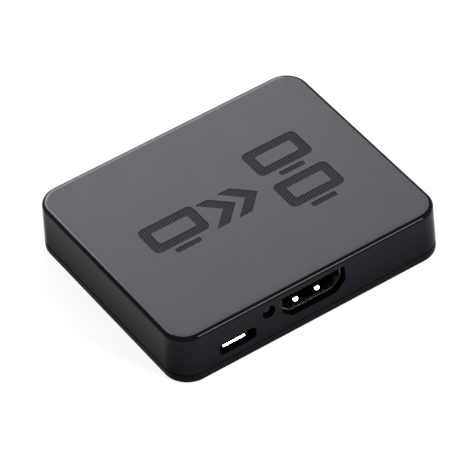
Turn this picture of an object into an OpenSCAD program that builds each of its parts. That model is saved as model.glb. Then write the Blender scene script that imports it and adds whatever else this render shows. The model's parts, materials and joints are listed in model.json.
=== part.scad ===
// Video signal splitter: one input and two outputs in a two-part moulded casing.
// The origin is the middle of the underside. The input side faces -Y and +Z is up.

/* [Casing] */
// Width of the casing along its socket sides
body_w = 65; // [60:0.5:80]
// Depth of the casing from the input side to the output side
body_d = 54; // [51:0.5:70]
// Corner radius of the casing in plan
corner_r = 5.5; // [5:0.25:8]
// Thickness of the cover's side walls
wall_t = 1.5; // [1.2:0.1:2]
// Thickness of the cover's roof
roof_t = 1.4; // [1:0.1:2.5]
// How far the cover's walls lean in between the seam and the top edge
wall_lean = 0.3; // [0.1:0.05:0.6]
// Radius round the cover's top edge
top_edge_r = 0.8; // [0.4:0.1:1]
// Height of the base plate's edge, from the underside to the seam
base_edge_h = 1.9; // [1.6:0.1:2.2]
// Thickness of the base plate's floor
floor_t = 1.4; // [1.2:0.1:1.5]
// Radius round the base plate's lower edge
base_edge_r = 0.5; // [0.2:0.1:0.8]
// Chamfer on the base plate's upper edge, at the seam
base_chamfer = 0.05; // [0.05:0.05:0.3]
// Height of the shadow gap at the seam
seam_h = 0.3; // [0.1:0.05:0.4]
// Depth of the shadow gap at the seam
seam_depth = 0.4; // [0.2:0.1:0.8]
// Thickness of the base plate's locating rim
rim_t = 0.9; // [0.7:0.1:1.2]
// Height of the locating rim above the seam
rim_h = 1.4; // [0.8:0.1:1.6]
// Clearance between the locating rim and the cover's wall
rim_clearance = 0.12; // [0.05:0.01:0.25]
// Head room between the video sockets and the roof
head_room = 0.8; // [0.5:0.1:5]

/* [Case screws] */
// Distance from the casing's sides to a screw's axis
screw_inset = 6.2; // [6:0.1:7]
// Radius of a screw's shank
screw_r = 0.9; // [0.7:0.05:1]
// Length of a screw's shank under its head
screw_len = 6; // [5:0.5:7]
// Radius of a screw's head
screw_head_r = 1.75; // [1.5:0.05:1.9]
// Height of a screw's head
screw_head_h = 1; // [0.8:0.1:1.2]
// Depth of a screw head's top below the underside
screw_sink = 0.3; // [0.1:0.1:0.4]
// Clearance round a screw's shank in the base plate and the board
screw_clearance = 0.2; // [0.1:0.05:0.3]
// Clearance round a screw's head in its counterbore
head_clearance = 0.25; // [0.1:0.05:0.3]
// Wall round a screw's hole in the cover's boss
boss_wall = 1.4; // [1.1:0.1:1.5]
// Clearance round a screw's shank in the cover's boss
pilot_clearance = 0.03; // [0.01:0.01:0.08]
// Depth of a boss's hole past the screw's tip
boss_spare = 0.5; // [0.2:0.1:1]
// Length of a slot in a screw's cross recess
recess_len = 2.2; // [1.6:0.1:2.4]
// Width of a slot in a screw's cross recess
recess_w = 0.4; // [0.3:0.05:0.5]
// Depth of a screw's cross recess
recess_depth = 0.6; // [0.4:0.05:0.7]

/* [Circuit board] */
// Thickness of the circuit board
board_t = 1.6; // [1.2:0.1:1.8]
// Height of the base plate's standoffs above its floor
board_lift = 1.15; // [1:0.05:1.5]
// Clearance between the board's edge and the locating rim
board_clearance = 0.3; // [0.2:0.05:0.6]
// How far soldered tabs and leads reach below the board
solder_tail = 0.6; // [0.4:0.1:0.8]
// Clearance round a tab or lead in the board
tab_clearance = 0.15; // [0.1:0.05:0.2]

/* [Video sockets] */
// Distance of the input socket from the casing's middle
input_x = 0; // [-0.5:0.1:0.5]
// Distance of each output socket from the casing's middle
output_x = 12.5; // [12:0.1:12.8]
// Width of a video socket's opening
video_w = 14; // [13.8:0.1:14.2]
// Height of a video socket's opening
video_h = 4.55; // [4.4:0.05:4.8]
// Width of the opening's sloping lower corner
video_corner_w = 2; // [1.5:0.1:2.3]
// Height of the opening's sloping lower corner
video_corner_h = 1.8; // [1.5:0.1:2.1]
// Thickness of a video socket's sheet metal shell
video_shell_t = 0.35; // [0.25:0.05:0.4]
// Bend radius at the opening's corners
video_bend_r = 0.4; // [0.3:0.05:0.6]
// Height of the opening above the circuit board
video_lift = 0.95; // [0.8:0.05:1.2]
// Depth of a video socket's shell
video_depth = 10.5; // [9.5:0.25:11]
// Clearance between a socket's shell and its cut-out in the casing
video_cut_clearance = 0.35; // [0.2:0.05:0.4]
// Corner radius of the casing's cut-out at a video socket
video_cut_r = 0.4; // [0.2:0.1:1]
// How far a video socket's front edge reaches into its cut-out
video_reach = 0.5; // [0:0.05:0.8]
// Distance of a spring finger from a socket's middle
finger_x = 2.6; // [2:0.1:3]
// Width of a spring finger
finger_w = 1.1; // [0.8:0.1:1.8]
// Length of a spring finger from its root to its tip
finger_len = 4.6; // [4:0.1:4.8]
// Distance of a spring finger's tip from the shell's front edge
finger_setback = 1.4; // [1.2:0.1:1.7]
// Distance of a spring finger's crest from its tip
finger_crest = 0.65; // [0.4:0.05:0.8]
// Length of the flat stretch at a spring finger's crest
finger_flat = 0.3; // [0.2:0.05:0.5]
// Height of a spring finger's crest inside the opening
finger_rise = 0.44; // [0.2:0.02:0.5]
// Width of the slot cut round a spring finger
finger_slot = 0.3; // [0.2:0.05:0.4]
// Width of a shell's solder tab
video_tab_w = 1.6; // [1.2:0.1:2]
// Distance of a shell's front solder tabs from its front edge
video_tab_front = 3.4; // [3:0.1:4]
// Distance between a shell's front and rear solder tabs
video_tab_span = 5; // [4.5:0.1:5.5]
// Width of the contact tongue
tongue_w = 11.2; // [10.8:0.1:11.6]
// Thickness of the contact tongue
tongue_t = 1.3; // [1.1:0.1:1.5]
// Height of the tongue's underside above the opening's floor
tongue_lift = 1.85; // [1.6:0.05:1.95]
// Distance of the tongue's tip from the shell's front edge
tongue_setback = 1.6; // [1.3:0.1:1.9]
// Chamfer round the tongue's tip
tongue_chamfer = 0.3; // [0.1:0.05:0.45]
// Depth of the insulator block that closes a shell's rear
video_block = 4; // [3.5:0.1:4.2]
// Thickness of the insulator's rear foot
video_foot_t = 1.2; // [1:0.1:1.5]
// Clearance between an insulator and its shell
insulator_clearance = 0.05; // [0.02:0.01:0.08]
// Number of contacts on top of the tongue
contact_count = 10; // [8:1:10]
// Distance between neighbouring contacts in a row
contact_pitch = 1; // [0.9:0.05:1.05]
// Width of a video contact
contact_w = 0.35; // [0.25:0.05:0.4]
// Thickness of a video contact
contact_t = 0.15; // [0.1:0.01:0.2]
// Gap between the insulator's back and the contacts' legs
contact_leg_gap = 0.25; // [0.15:0.05:0.4]
// Length of a video contact's solder foot
contact_foot = 0.8; // [0.6:0.1:1]

/* [Power socket] */
// Distance of the power socket's middle from the casing's left side
power_x = 14.1; // [13.7:0.1:14.5]
// Width of the power socket's opening
power_w = 6.9; // [6.7:0.1:7.1]
// Height of the power socket's opening
power_h = 1.85; // [1.7:0.05:2]
// Width of the opening's sloping lower corner
power_corner_w = 0.75; // [0.5:0.05:0.9]
// Height of the opening's sloping lower corner
power_corner_h = 0.7; // [0.5:0.05:0.9]
// Thickness of the power socket's shell
power_shell_t = 0.25; // [0.2:0.05:0.3]
// Bend radius at the opening's corners
power_bend_r = 0.25; // [0.15:0.05:0.3]
// Depth of the power socket's shell behind its lips
power_depth = 5; // [4.8:0.1:5.6]
// Length of the flared lips in front of the shell
lip_len = 0.25; // [0.2:0.05:0.6]
// How far the lips flare out
lip_flare = 0.25; // [0.2:0.05:0.35]
// Largest width of a lip
lip_w = 5.6; // [5:0.1:5.8]
// How far the power socket's lips reach into their cut-out
power_reach = 0.1; // [0:0.05:0.3]
// Width of the casing's cut-out beside the power socket's shell
power_cut_side = 0.65; // [0.4:0.05:0.8]
// Height of the casing's cut-out above and below the power socket's shell
power_cut_rise = 0.33; // [0.31:0.01:0.45]
// Corner radius of the casing's cut-out at the power socket
power_cut_r = 1; // [0.5:0.1:1.2]
// Width of the power socket's solder tabs
power_tab_w = 1; // [0.8:0.1:1.2]
// Distance of the front solder tabs from the shell's front
power_tab_front = 1.3; // [1.2:0.1:1.5]
// Distance between the front and rear solder tabs
power_tab_span = 2.6; // [2.4:0.1:3]
// Width of the power socket's tongue
power_tongue_w = 3.8; // [3.6:0.1:4.2]
// Thickness of the power socket's tongue
power_tongue_t = 0.6; // [0.5:0.05:0.7]
// Gap between the tongue and the shell's top
power_tongue_gap = 0.35; // [0.3:0.05:0.5]
// Distance of the tongue's tip from the shell's front
power_tongue_setback = 0.7; // [0.5:0.1:1]
// Depth of the insulator block that closes the shell's rear
power_block = 1.4; // [1.2:0.1:1.6]
// Thickness of the power insulator's rear foot
power_foot_t = 0.5; // [0.4:0.1:0.7]
// Number of power contacts
power_contact_count = 5; // [4:1:5]
// Distance between neighbouring power contacts
power_contact_pitch = 0.65; // [0.6:0.05:0.7]
// Width of a power contact
power_contact_w = 0.3; // [0.2:0.05:0.35]
// Thickness of a power contact
power_contact_t = 0.12; // [0.1:0.01:0.15]

/* [Indicator] */
// Distance of the indicator from the casing's middle, to the left
led_x = 10.7; // [10.6:0.1:10.9]
// Height of the indicator's axis above the circuit board
led_lift = 4.5; // [4:0.1:4.6]
// Radius of the indicator's hole in the casing
led_hole_r = 1.5; // [1.4:0.05:1.6]
// Radius of the indicator's lens
led_r = 1.5; // [1.4:0.05:1.6]
// Length of the indicator's lens
led_len = 4.6; // [4:0.1:5.2]
// Radius of the rim at the lens's back
led_rim_r = 1.75; // [1.7:0.05:1.8]
// Thickness of the rim at the lens's back
led_rim_t = 0.9; // [0.6:0.1:1.2]
// Clearance between the lens's dome and the edge of its hole
led_clearance = 0.1; // [0.05:0.05:0.3]
// Distance between the indicator's two leads
led_pitch = 2.2; // [2:0.1:2.3]
// Thickness of an indicator lead
led_lead_t = 0.45; // [0.4:0.05:0.5]
// Length of an indicator lead behind the lens, before its bend
led_bend = 1.2; // [1:0.1:1.6]

/* [Chips] */
// Width of the splitter chip's body
chip_w = 10; // [9.6:0.1:10.2]
// Height of the splitter chip's body
chip_h = 1.4; // [1:0.1:1.6]
// Number of leads on a side of the splitter chip
chip_lead_count = 16; // [12:1:17]
// Distance between the splitter chip's leads
chip_pitch = 0.5; // [0.45:0.05:0.55]
// Radius of the dot that marks the splitter chip's first lead
dot_r = 0.6; // [0.3:0.1:0.8]
// Distance of the dot's middle from the chip's edges
dot_inset = 1.5; // [1:0.1:2]
// Depth of the dot
dot_depth = 0.1; // [0.05:0.05:0.2]
// Distance of the memory chip from the casing's middle, to the right
memory_x = 14.5; // [14:0.1:17]
// Distance of the memory chip from the board's front edge
memory_y = 7; // [6.5:0.1:8]
// Length of the memory chip's body
memory_w = 4.9; // [4.6:0.1:5.4]
// Width of the memory chip's body
memory_d = 3.9; // [3.6:0.1:4.2]
// Height of the memory chip's body
memory_h = 1.5; // [1.2:0.1:1.75]
// Length of a regulator's body
regulator_w = 4.5; // [4.2:0.1:5]
// Width of a regulator's body
regulator_d = 2.5; // [2.3:0.1:2.6]
// Width of a regulator's cooling tab
regulator_tab_w = 1.8; // [1.4:0.1:2.2]
// Height of a regulator's body
regulator_h = 1.5; // [1.3:0.1:1.7]
// Distance of the regulators from the casing's middle, to the left
regulator_x = 14.5; // [14:0.1:15]
// Distance between the two regulators
regulator_span = 6; // [5.8:0.1:6.4]
// Number of surge arrays behind a video socket
surge_count = 4; // [3:1:4]
// Length of a surge array's body
surge_w = 2.6; // [2.4:0.1:2.9]
// Width of a surge array's body
surge_d = 1.5; // [1.3:0.1:1.6]
// Height of a surge array's body
surge_h = 1; // [0.9:0.1:1.3]
// Distance between neighbouring surge arrays
surge_pitch = 3.5; // [3.4:0.1:3.6]
// Gap between a video socket's contact feet and its surge arrays
surge_gap = 0.6; // [0.4:0.1:0.8]
// Height of a chip's body above the board
chip_standoff = 0.1; // [0.05:0.01:0.15]
// Width of a chip's lead
lead_w = 0.25; // [0.2:0.01:0.3]
// Thickness of a chip's lead
lead_t = 0.15; // [0.1:0.01:0.2]
// Reach of a chip's lead beyond its body
lead_reach = 0.7; // [0.55:0.05:0.9]
// Length of a lead's level stretch beside the chip's body
lead_shoulder = 0.2; // [0.1:0.05:0.25]
// Length of a lead's sloping stretch
lead_slope = 0.15; // [0.1:0.05:0.2]
// Corner radius of a chip's body
chip_edge_r = 0.15; // [0.05:0.05:0.3]

/* [Other board parts] */
// Distance of the crystal from the casing's middle, to the right
crystal_x = 14.5; // [14:0.1:18]
// Length of the crystal's can
crystal_len = 10; // [9:0.1:10.8]
// Width of the crystal's can
crystal_w = 3.8; // [3.4:0.1:4.2]
// Height of the crystal's can
crystal_h = 3; // [2.5:0.1:3.6]
// Width of the flat at each end of the crystal
crystal_flat = 0.2; // [0.1:0.05:0.4]
// Thickness of the crystal's base
crystal_base_t = 0.5; // [0.4:0.1:0.7]
// Width of the crystal base's flange beyond the can
crystal_flange = 0.4; // [0.3:0.05:0.5]
// Radius of an electrolytic capacitor's can
can_r = 2.5; // [2:0.1:2.6]
// Height of an electrolytic capacitor's can above its base
can_h = 4.6; // [4:0.1:4.8]
// Height of the electrolytic capacitor's base
can_base_h = 0.7; // [0.5:0.1:0.9]
// Height of the rolled groove above the can's base
can_groove_z = 1; // [0.7:0.1:1.5]
// Depth of the rolled groove round the can
can_groove = 0.25; // [0.15:0.05:0.3]
// Distance of the electrolytic capacitors from the board's left edge
can_inset = 5.5; // [5:0.1:6]
// Distance between the two electrolytic capacitors
can_span = 9; // [8:0.1:10]
// Length of a small ceramic capacitor or resistor
passive_len = 1.6; // [1.4:0.1:1.7]
// Width of a small ceramic capacitor or resistor
passive_w = 0.8; // [0.7:0.05:0.9]
// Height of a ceramic capacitor
ceramic_h = 0.8; // [0.6:0.05:0.9]
// Height of a chip resistor
resistor_h = 0.45; // [0.35:0.05:0.55]
// Length of a metal end on a small part
end_len = 0.3; // [0.2:0.05:0.4]
// Number of small parts in a column beside the splitter chip
passive_count = 5; // [3:1:6]
// Distance between small parts in a column
passive_pitch = 2; // [1.6:0.1:2.1]
// Gap between the splitter chip's leads and the nearest column
passive_gap = 0.5; // [0.4:0.1:0.6]
// Length of the input fuse
fuse_len = 3.2; // [3:0.1:3.6]
// Width of the input fuse
fuse_w = 1.6; // [1.4:0.1:1.8]
// Height of the input fuse
fuse_h = 0.7; // [0.6:0.1:1]
// Gap between the power socket's contact feet and the input fuse
fuse_gap = 0.8; // [0.6:0.1:1.2]

/* [Hidden] */
$fn = 48;
// Extra length of a cutting shape past the face that it cuts
past = 1;

// Heights of the stack, from the underside up
board_z = floor_t + board_lift;
board_top = board_z + board_t;
roof_z = board_top + video_lift + video_h + video_shell_t + head_room;
body_h = roof_z + roof_t;
edge_z = body_h - top_edge_r;
rim_top = base_edge_h + rim_h;
screw_seat = screw_sink + screw_head_h;
boss_r = screw_r + boss_wall;

// Inset of the cover's wall at a height above the seam
function lean(z) = wall_lean * (z - base_edge_h) / (edge_z - base_edge_h);

// Distances in from the casing's sides
rim_inset = wall_t + rim_clearance + lean(rim_top);
board_inset = rim_inset + rim_t + board_clearance;
wall_inset = wall_t + wall_lean;
board_w = body_w - 2 * board_inset;
board_d = body_d - 2 * board_inset;
screw_x = body_w / 2 - screw_inset;
screw_y = body_d / 2 - screw_inset;

// Lengths of the sockets with their feet
contact_leg = video_depth + video_foot_t + contact_leg_gap;
video_len = contact_leg + contact_foot;
power_leg = power_depth + power_foot_t + contact_leg_gap;
power_len = power_leg + contact_foot;
tongue_z = video_lift + tongue_lift;
power_top = power_shell_t + power_h;
power_tongue_z = power_top - power_tongue_gap - power_tongue_t;
led_entry_r = min(led_r, led_hole_r - led_clearance);
led_reach = led_r - sqrt(pow(led_r, 2) - pow(led_entry_r, 2));
led_back = wall_inset - led_reach + led_len;

// Places on the board
chip_reach = chip_w / 2 + lead_reach;
ceramic_x = chip_reach + passive_gap + passive_len / 2;
resistor_x = ceramic_x + passive_len + passive_gap;
can_x = board_w / 2 - can_inset;

function unit(v) = v / norm(v);

// Arc of radius r that rounds the corner p between its neighbours a and b
function corner_arc(a, p, b, r, steps) =
    let (u = unit(a - p), v = unit(b - p), half = acos(u * v) / 2,
        c = p + unit(u + v) * r / sin(half), s = p + u * r / tan(half) - c,
        turn = (cross(-u, v) > 0 ? 1 : -1) * (180 - 2 * half))
    [for (i = [0:steps]) let (t = turn * i / steps)
        c + [s.x * cos(t) - s.y * sin(t), s.x * sin(t) + s.y * cos(t)]];

// Outline with every corner rounded to radius r
function rounded(points, r, steps = 5) =
    let (n = len(points))
    [for (i = [0:n - 1])
        each corner_arc(points[(i + n - 1) % n], points[i], points[(i + 1) % n], r, steps)];

function rectangle(w, d) = [[-w, -d] / 2, [w, -d] / 2, [w, d] / 2, [-w, d] / 2];

// Direction across a bent strip at one of its points, longer where the strip is mitred
function strip_normal(path, i) =
    let (a = i > 0 ? unit(path[i] - path[i - 1]) : unit(path[1] - path[0]),
        b = i < len(path) - 1 ? unit(path[i + 1] - path[i]) : a, m = unit(a + b))
    [-m.y, m.x] / (m * b);

// Outline of a strip of thickness t bent along a path
function strip(path, t) = let (n = len(path) - 1) concat(
    [for (i = [0:n]) path[i] + strip_normal(path, i) * t / 2],
    [for (i = [n:-1:0]) path[i] - strip_normal(path, i) * t / 2]);

// Socket opening with sloping lower corners, grown outwards by the given amount
function socket_outline(w, h, corner_w, corner_h, grow) =
    let (a = atan2(corner_h, corner_w), side = w / 2 + grow,
        low = corner_h - grow * tan(45 - a / 2), foot = w / 2 - corner_w + grow * tan(a / 2))
    [[-side, h + grow], [-side, low], [-foot, -grow], [foot, -grow], [side, low], [side, h + grow]];

// Video socket's opening above the board, grown outwards and with corners of radius r
module video_opening(grow, r) {
    translate([0, video_lift]) polygon(rounded(
        socket_outline(video_w, video_h, video_corner_w, video_corner_h, grow), r));
}

// Power socket's opening above the board, grown outwards by the given amount
module power_opening(grow) {
    translate([0, power_shell_t]) polygon(rounded(
        socket_outline(power_w, power_h, power_corner_w, power_corner_h, grow), power_bend_r + max(grow, 0)));
}

// Profile in X and Z, drawn out along Y
module along_y(from, to) {
    translate([0, to, 0]) rotate([90, 0, 0]) linear_extrude(to - from) children();
}

// Profile in Y and Z, drawn out along X and centred
module along_x(w) {
    rotate([90, 0, 90]) linear_extrude(w, center = true) children();
}

// Profile carried round a rectangle with round corners. It is drawn outwards from the corners' axes
module round_rectangle_sweep(w, d, r) {
    for (q = [0:3]) {
        long = q % 2 == 0 ? w : d;
        wide = q % 2 == 0 ? d : w;
        rotate(90 * q) translate([long / 2 - r, wide / 2 - r]) rotate_extrude(angle = 90) children();
        rotate(90 * q) translate([long / 2 - r, 0]) rotate([90, 0, 0])
            linear_extrude(wide - 2 * r, center = true) children();
    }
}

module middle_block(z, h) {
    translate([0, 0, z + h / 2]) cube([body_w - 2 * corner_r, body_d - 2 * corner_r, h], center = true);
}

// Quarter disc that rounds a profile's edge, upwards or downwards
module edge_round(x, z, r, up) {
    translate([x, z]) intersection() {
        circle(r);
        translate([0, up ? 0 : -r]) square(r);
    }
}

module at_screws() {
    for (sx = [-1, 1], sy = [-1, 1]) translate([sx * screw_x, sy * screw_y]) children();
}

// Places a socket on the board, with its front edge in its cut-out in the casing's wall
module on_input_side(x, reach) {
    translate([x, wall_inset - reach - body_d / 2, board_top]) children();
}

module on_output_side(x) {
    rotate(180) on_input_side(-x, video_reach) children();
}

module at_video_sockets() {
    on_input_side(input_x, video_reach) children();
    for (s = [-1, 1]) on_output_side(s * output_x) children();
}

module at_power_socket() {
    on_input_side(power_x - body_w / 2, power_reach) translate([0, lip_len, 0]) children();
}

module at_indicator() {
    translate([-led_x, led_back - body_d / 2, board_top]) children();
}

// Casing

module cover_section() {
    face = corner_r - wall_lean;
    seam_top = base_edge_h + seam_h;
    polygon([[0, base_edge_h], [corner_r - seam_depth, base_edge_h],
        [corner_r - seam_depth, seam_top], [corner_r - lean(seam_top), seam_top],
        [face, edge_z], [face - top_edge_r, edge_z], [face - top_edge_r, body_h], [0, body_h]]);
    edge_round(face - top_edge_r, edge_z, top_edge_r, true);
}

module cover_hollow_section() {
    inside = corner_r - wall_t;
    polygon([[0, base_edge_h - past], [inside, base_edge_h - past], [inside, base_edge_h],
        [inside - lean(roof_z), roof_z], [0, roof_z]]);
}

module video_cut() {
    along_y(-wall_inset - past, video_reach + past)
        video_opening(video_shell_t + video_cut_clearance, video_cut_r);
}

module power_cut() {
    w = power_w + 2 * (power_shell_t + power_cut_side);
    h = power_h + 2 * (power_shell_t + power_cut_rise);
    translate([0, -lip_len, power_shell_t + power_h / 2]) along_y(-wall_inset - past, power_reach + past)
        polygon(rounded(rectangle(w, h), power_cut_r));
}

module indicator_cut() {
    translate([0, 0, led_lift]) rotate([90, 0, 0]) cylinder(r = led_hole_r, h = led_back + past);
}

module top_cover() {
    color([0.2, 0.2, 0.22]) difference() {
        union() {
            difference() {
                union() {
                    round_rectangle_sweep(body_w, body_d, corner_r) cover_section();
                    middle_block(base_edge_h, body_h - base_edge_h);
                }
                union() {
                    round_rectangle_sweep(body_w, body_d, corner_r) cover_hollow_section();
                    middle_block(base_edge_h - past, roof_z - base_edge_h + past);
                }
            }
            at_screws() translate([0, 0, board_top])
                cylinder(r = boss_r, h = roof_z - board_top + roof_t / 2);
        }
        at_screws() cylinder(r = screw_r + pilot_clearance, h = screw_seat + screw_len + boss_spare);
        at_video_sockets() video_cut();
        at_power_socket() power_cut();
        at_indicator() indicator_cut();
    }
}

module base_section() {
    round_x = corner_r - base_edge_r;
    polygon([[0, 0], [round_x, 0], [round_x, base_edge_r], [corner_r, base_edge_r],
        [corner_r, base_edge_h - base_chamfer], [corner_r - base_chamfer, base_edge_h], [0, base_edge_h]]);
    edge_round(round_x, base_edge_r, base_edge_r, false);
}

// Flat shape with the casing's outline, drawn in by an inset
module inset_outline(inset) {
    polygon(rounded(rectangle(body_w - 2 * inset, body_d - 2 * inset), corner_r - inset, 8));
}

module base_plate() {
    color([0.07, 0.07, 0.08]) difference() {
        union() {
            difference() {
                union() {
                    round_rectangle_sweep(body_w, body_d, corner_r) base_section();
                    middle_block(0, base_edge_h);
                    translate([0, 0, floor_t]) linear_extrude(rim_top - floor_t) inset_outline(rim_inset);
                }
                translate([0, 0, floor_t]) linear_extrude(rim_top) inset_outline(rim_inset + rim_t);
            }
            at_screws() translate([0, 0, floor_t / 2]) cylinder(r = boss_r, h = board_z - floor_t / 2);
        }
        at_screws() {
            translate([0, 0, -past]) cylinder(r = screw_r + screw_clearance, h = board_z + 2 * past);
            translate([0, 0, -past]) cylinder(r = screw_head_r + head_clearance, h = screw_seat + past);
        }
    }
}

module case_screws() {
    color([0.6, 0.6, 0.62]) at_screws() difference() {
        union() {
            translate([0, 0, screw_sink]) cylinder(r = screw_head_r, h = screw_head_h);
            translate([0, 0, screw_seat - screw_head_h / 2])
                cylinder(r = screw_r, h = screw_len + screw_head_h / 2);
        }
        for (a = [0, 90]) rotate(a) translate([0, 0, screw_sink])
            cube([recess_len, recess_w, 2 * recess_depth], center = true);
    }
}

// Circuit board

module video_tab_places() {
    for (s = [-1, 1], y = [0, 1]) translate(
        [s * (video_w + video_shell_t) / 2, video_tab_front + y * video_tab_span, 0]) children();
}

module power_tab_places() {
    for (s = [-1, 1], y = [0, 1]) translate(
        [s * (power_w + power_shell_t) / 2, power_tab_front + y * power_tab_span, 0]) children();
}

module tab_slot(t, w) {
    translate([0, 0, -board_t / 2])
        cube([t + 2 * tab_clearance, w + 2 * tab_clearance, board_t + 2 * past], center = true);
}

module led_lead_places() {
    for (s = [-1, 1]) translate([s * led_pitch / 2, 0, 0]) children();
}

module circuit_board() {
    color([0.1, 0.1, 0.11]) difference() {
        translate([0, 0, board_z]) linear_extrude(board_t) inset_outline(board_inset);
        at_screws() translate([0, 0, board_z - past])
            cylinder(r = screw_r + screw_clearance, h = board_t + 2 * past);
        at_video_sockets() video_tab_places() tab_slot(video_shell_t, video_tab_w);
        at_power_socket() power_tab_places() tab_slot(power_shell_t, power_tab_w);
        at_indicator() led_lead_places() translate([0, led_bend, -board_t - past])
            cylinder(r = led_lead_t / sqrt(2) + tab_clearance, h = board_t + 2 * past);
    }
}

// Video sockets

module spring_finger() {
    mid = -video_shell_t / 2;
    root = finger_setback + finger_len;
    crest = finger_setback + finger_crest;
    along_x(finger_w) polygon(strip([[root + 2 * finger_slot, mid], [root, mid],
        [crest + finger_flat, mid + finger_rise], [crest, mid + finger_rise],
        [finger_setback, mid - finger_rise / 2]], video_shell_t));
}

module finger_opening() {
    translate([-finger_w / 2 - finger_slot, finger_setback - finger_slot, -video_shell_t - past])
        cube([finger_w + 2 * finger_slot, finger_len + finger_slot, video_shell_t + past + finger_rise]);
}

// The fingers lie in the opening's floor and, turned over, in its ceiling
module at_fingers() {
    for (s = [-1, 1]) {
        translate([s * finger_x, 0, video_lift]) children();
        translate([s * finger_x, 0, video_lift + video_h]) mirror([0, 0, 1]) children();
    }
}

module video_shell() {
    tab_top = video_lift + video_corner_h + video_bend_r;
    difference() {
        along_y(0, video_depth) video_opening(video_shell_t, video_bend_r + video_shell_t);
        along_y(-past, video_depth + past) video_opening(0, video_bend_r);
        at_fingers() finger_opening();
    }
    at_fingers() spring_finger();
    video_tab_places() translate([-video_shell_t / 2, -video_tab_w / 2, -board_t - solder_tail])
        cube([video_shell_t, video_tab_w, board_t + solder_tail + tab_top]);
}

// One contact: along the tongue, through the insulator, down its back and out to a solder foot
module bent_contact(from, leg, z, w, t) {
    along_x(w) polygon(strip([[from, z], [leg, z], [leg, t / 2], [leg + contact_foot, t / 2]], t));
}

module video_contacts() {
    start = tongue_setback + tongue_chamfer;
    for (row = [0, 1]) {
        count = contact_count - row;
        z = row == 0 ? tongue_z + tongue_t + contact_t / 2 : tongue_z - contact_t / 2;
        for (i = [0:count - 1]) translate([(i - (count - 1) / 2) * contact_pitch, 0, 0])
            bent_contact(start, contact_leg, z, contact_w, contact_t);
    }
}

module tongue_section(from, to, z, t, chamfer) {
    polygon([[from, z + chamfer], [from + chamfer, z], [to, z], [to, z + t],
        [from + chamfer, z + t], [from, z + t - chamfer]]);
}

module video_insulator() {
    foot_w = video_w - 2 * video_corner_w;
    difference() {
        union() {
            along_y(video_depth - video_block, video_depth)
                video_opening(-insulator_clearance, video_bend_r);
            along_x(tongue_w)
                tongue_section(tongue_setback, video_depth, tongue_z, tongue_t, tongue_chamfer);
            translate([-foot_w / 2, video_depth, 0]) cube([foot_w, video_foot_t, video_lift + video_h]);
        }
        video_contacts();
    }
}

module input_shell() { color([0.75, 0.75, 0.77]) on_input_side(input_x, video_reach) video_shell(); }
module input_insulator() { color([0.08, 0.08, 0.08]) on_input_side(input_x, video_reach) video_insulator(); }
module input_contacts() { color([0.85, 0.65, 0.3]) on_input_side(input_x, video_reach) video_contacts(); }
module output_1_shell() { color([0.75, 0.75, 0.77]) on_output_side(-output_x) video_shell(); }
module output_1_insulator() { color([0.08, 0.08, 0.08]) on_output_side(-output_x) video_insulator(); }
module output_1_contacts() { color([0.85, 0.65, 0.3]) on_output_side(-output_x) video_contacts(); }
module output_2_shell() { color([0.75, 0.75, 0.77]) on_output_side(output_x) video_shell(); }
module output_2_insulator() { color([0.08, 0.08, 0.08]) on_output_side(output_x) video_insulator(); }
module output_2_contacts() { color([0.85, 0.65, 0.3]) on_output_side(output_x) video_contacts(); }

// Power socket

// Lip at the shell's mouth, bent away from the opening
module flared_lip(w) {
    t = power_shell_t;
    along_x(w) polygon(strip([[t, t / 2], [0, t / 2], [-lip_len, t / 2 - lip_flare]], t));
}

module power_shell() {
    tab_top = power_shell_t + power_corner_h + power_bend_r;
    color([0.75, 0.75, 0.77]) at_power_socket() {
        difference() {
            along_y(0, power_depth) power_opening(power_shell_t);
            along_y(-past, power_depth + past) power_opening(0);
        }
        flared_lip(min(lip_w, power_w - 2 * power_corner_w));
        translate([0, 0, power_top + power_shell_t]) mirror([0, 0, 1]) flared_lip(lip_w);
        power_tab_places() translate([-power_shell_t / 2, -power_tab_w / 2, -board_t - solder_tail])
            cube([power_shell_t, power_tab_w, board_t + solder_tail + tab_top]);
    }
}

module power_contact_row() {
    z = power_tongue_z - power_contact_t / 2;
    for (i = [0:power_contact_count - 1])
        translate([(i - (power_contact_count - 1) / 2) * power_contact_pitch, 0, 0])
            bent_contact(power_tongue_setback, power_leg, z, power_contact_w, power_contact_t);
}

module power_contacts() { color([0.85, 0.65, 0.3]) at_power_socket() power_contact_row(); }

module power_insulator() {
    foot_w = power_w - 2 * power_corner_w;
    color([0.08, 0.08, 0.08]) at_power_socket() difference() {
        union() {
            along_y(power_depth - power_block, power_depth) power_opening(-insulator_clearance);
            along_x(power_tongue_w) tongue_section(power_tongue_setback, power_depth, power_tongue_z,
                power_tongue_t, 0);
            translate([-foot_w / 2, power_depth, 0]) cube([foot_w, power_foot_t, power_top]);
        }
        power_contact_row();
    }
}

// Indicator

module indicator_lens() {
    dome_z = led_len - led_r;
    color([0.75, 0.6, 0.58]) at_indicator() translate([0, 0, led_lift]) rotate([90, 0, 0])
        rotate_extrude() {
            polygon([[0, 0], [led_rim_r, 0], [led_rim_r, led_rim_t], [led_r, led_rim_t],
                [led_r, dome_z], [0, dome_z]]);
            edge_round(0, dome_z, led_r, true);
        }
}

module indicator_leads() {
    color([0.75, 0.75, 0.77]) at_indicator() led_lead_places() along_x(led_lead_t) polygon(strip(
        [[0, led_lift], [led_bend, led_lift], [led_bend, -board_t - solder_tail]], led_lead_t));
}

// Chips and their leads

module chip_body(w, d, h) {
    translate([0, 0, board_top + chip_standoff]) linear_extrude(h)
        polygon(rounded(rectangle(w, d), chip_edge_r, 2));
}

// Row of bent leads along the side of a chip that faces +Y, at y = d / 2
module lead_row(d, count, pitch, z) {
    top = chip_standoff + z;
    for (i = [0:count - 1]) translate([(i - (count - 1) / 2) * pitch, d / 2, board_top]) along_x(lead_w)
        polygon(strip([[0, top], [lead_shoulder, top], [lead_shoulder + lead_slope, lead_t / 2],
            [lead_reach, lead_t / 2]], lead_t));
}

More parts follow.
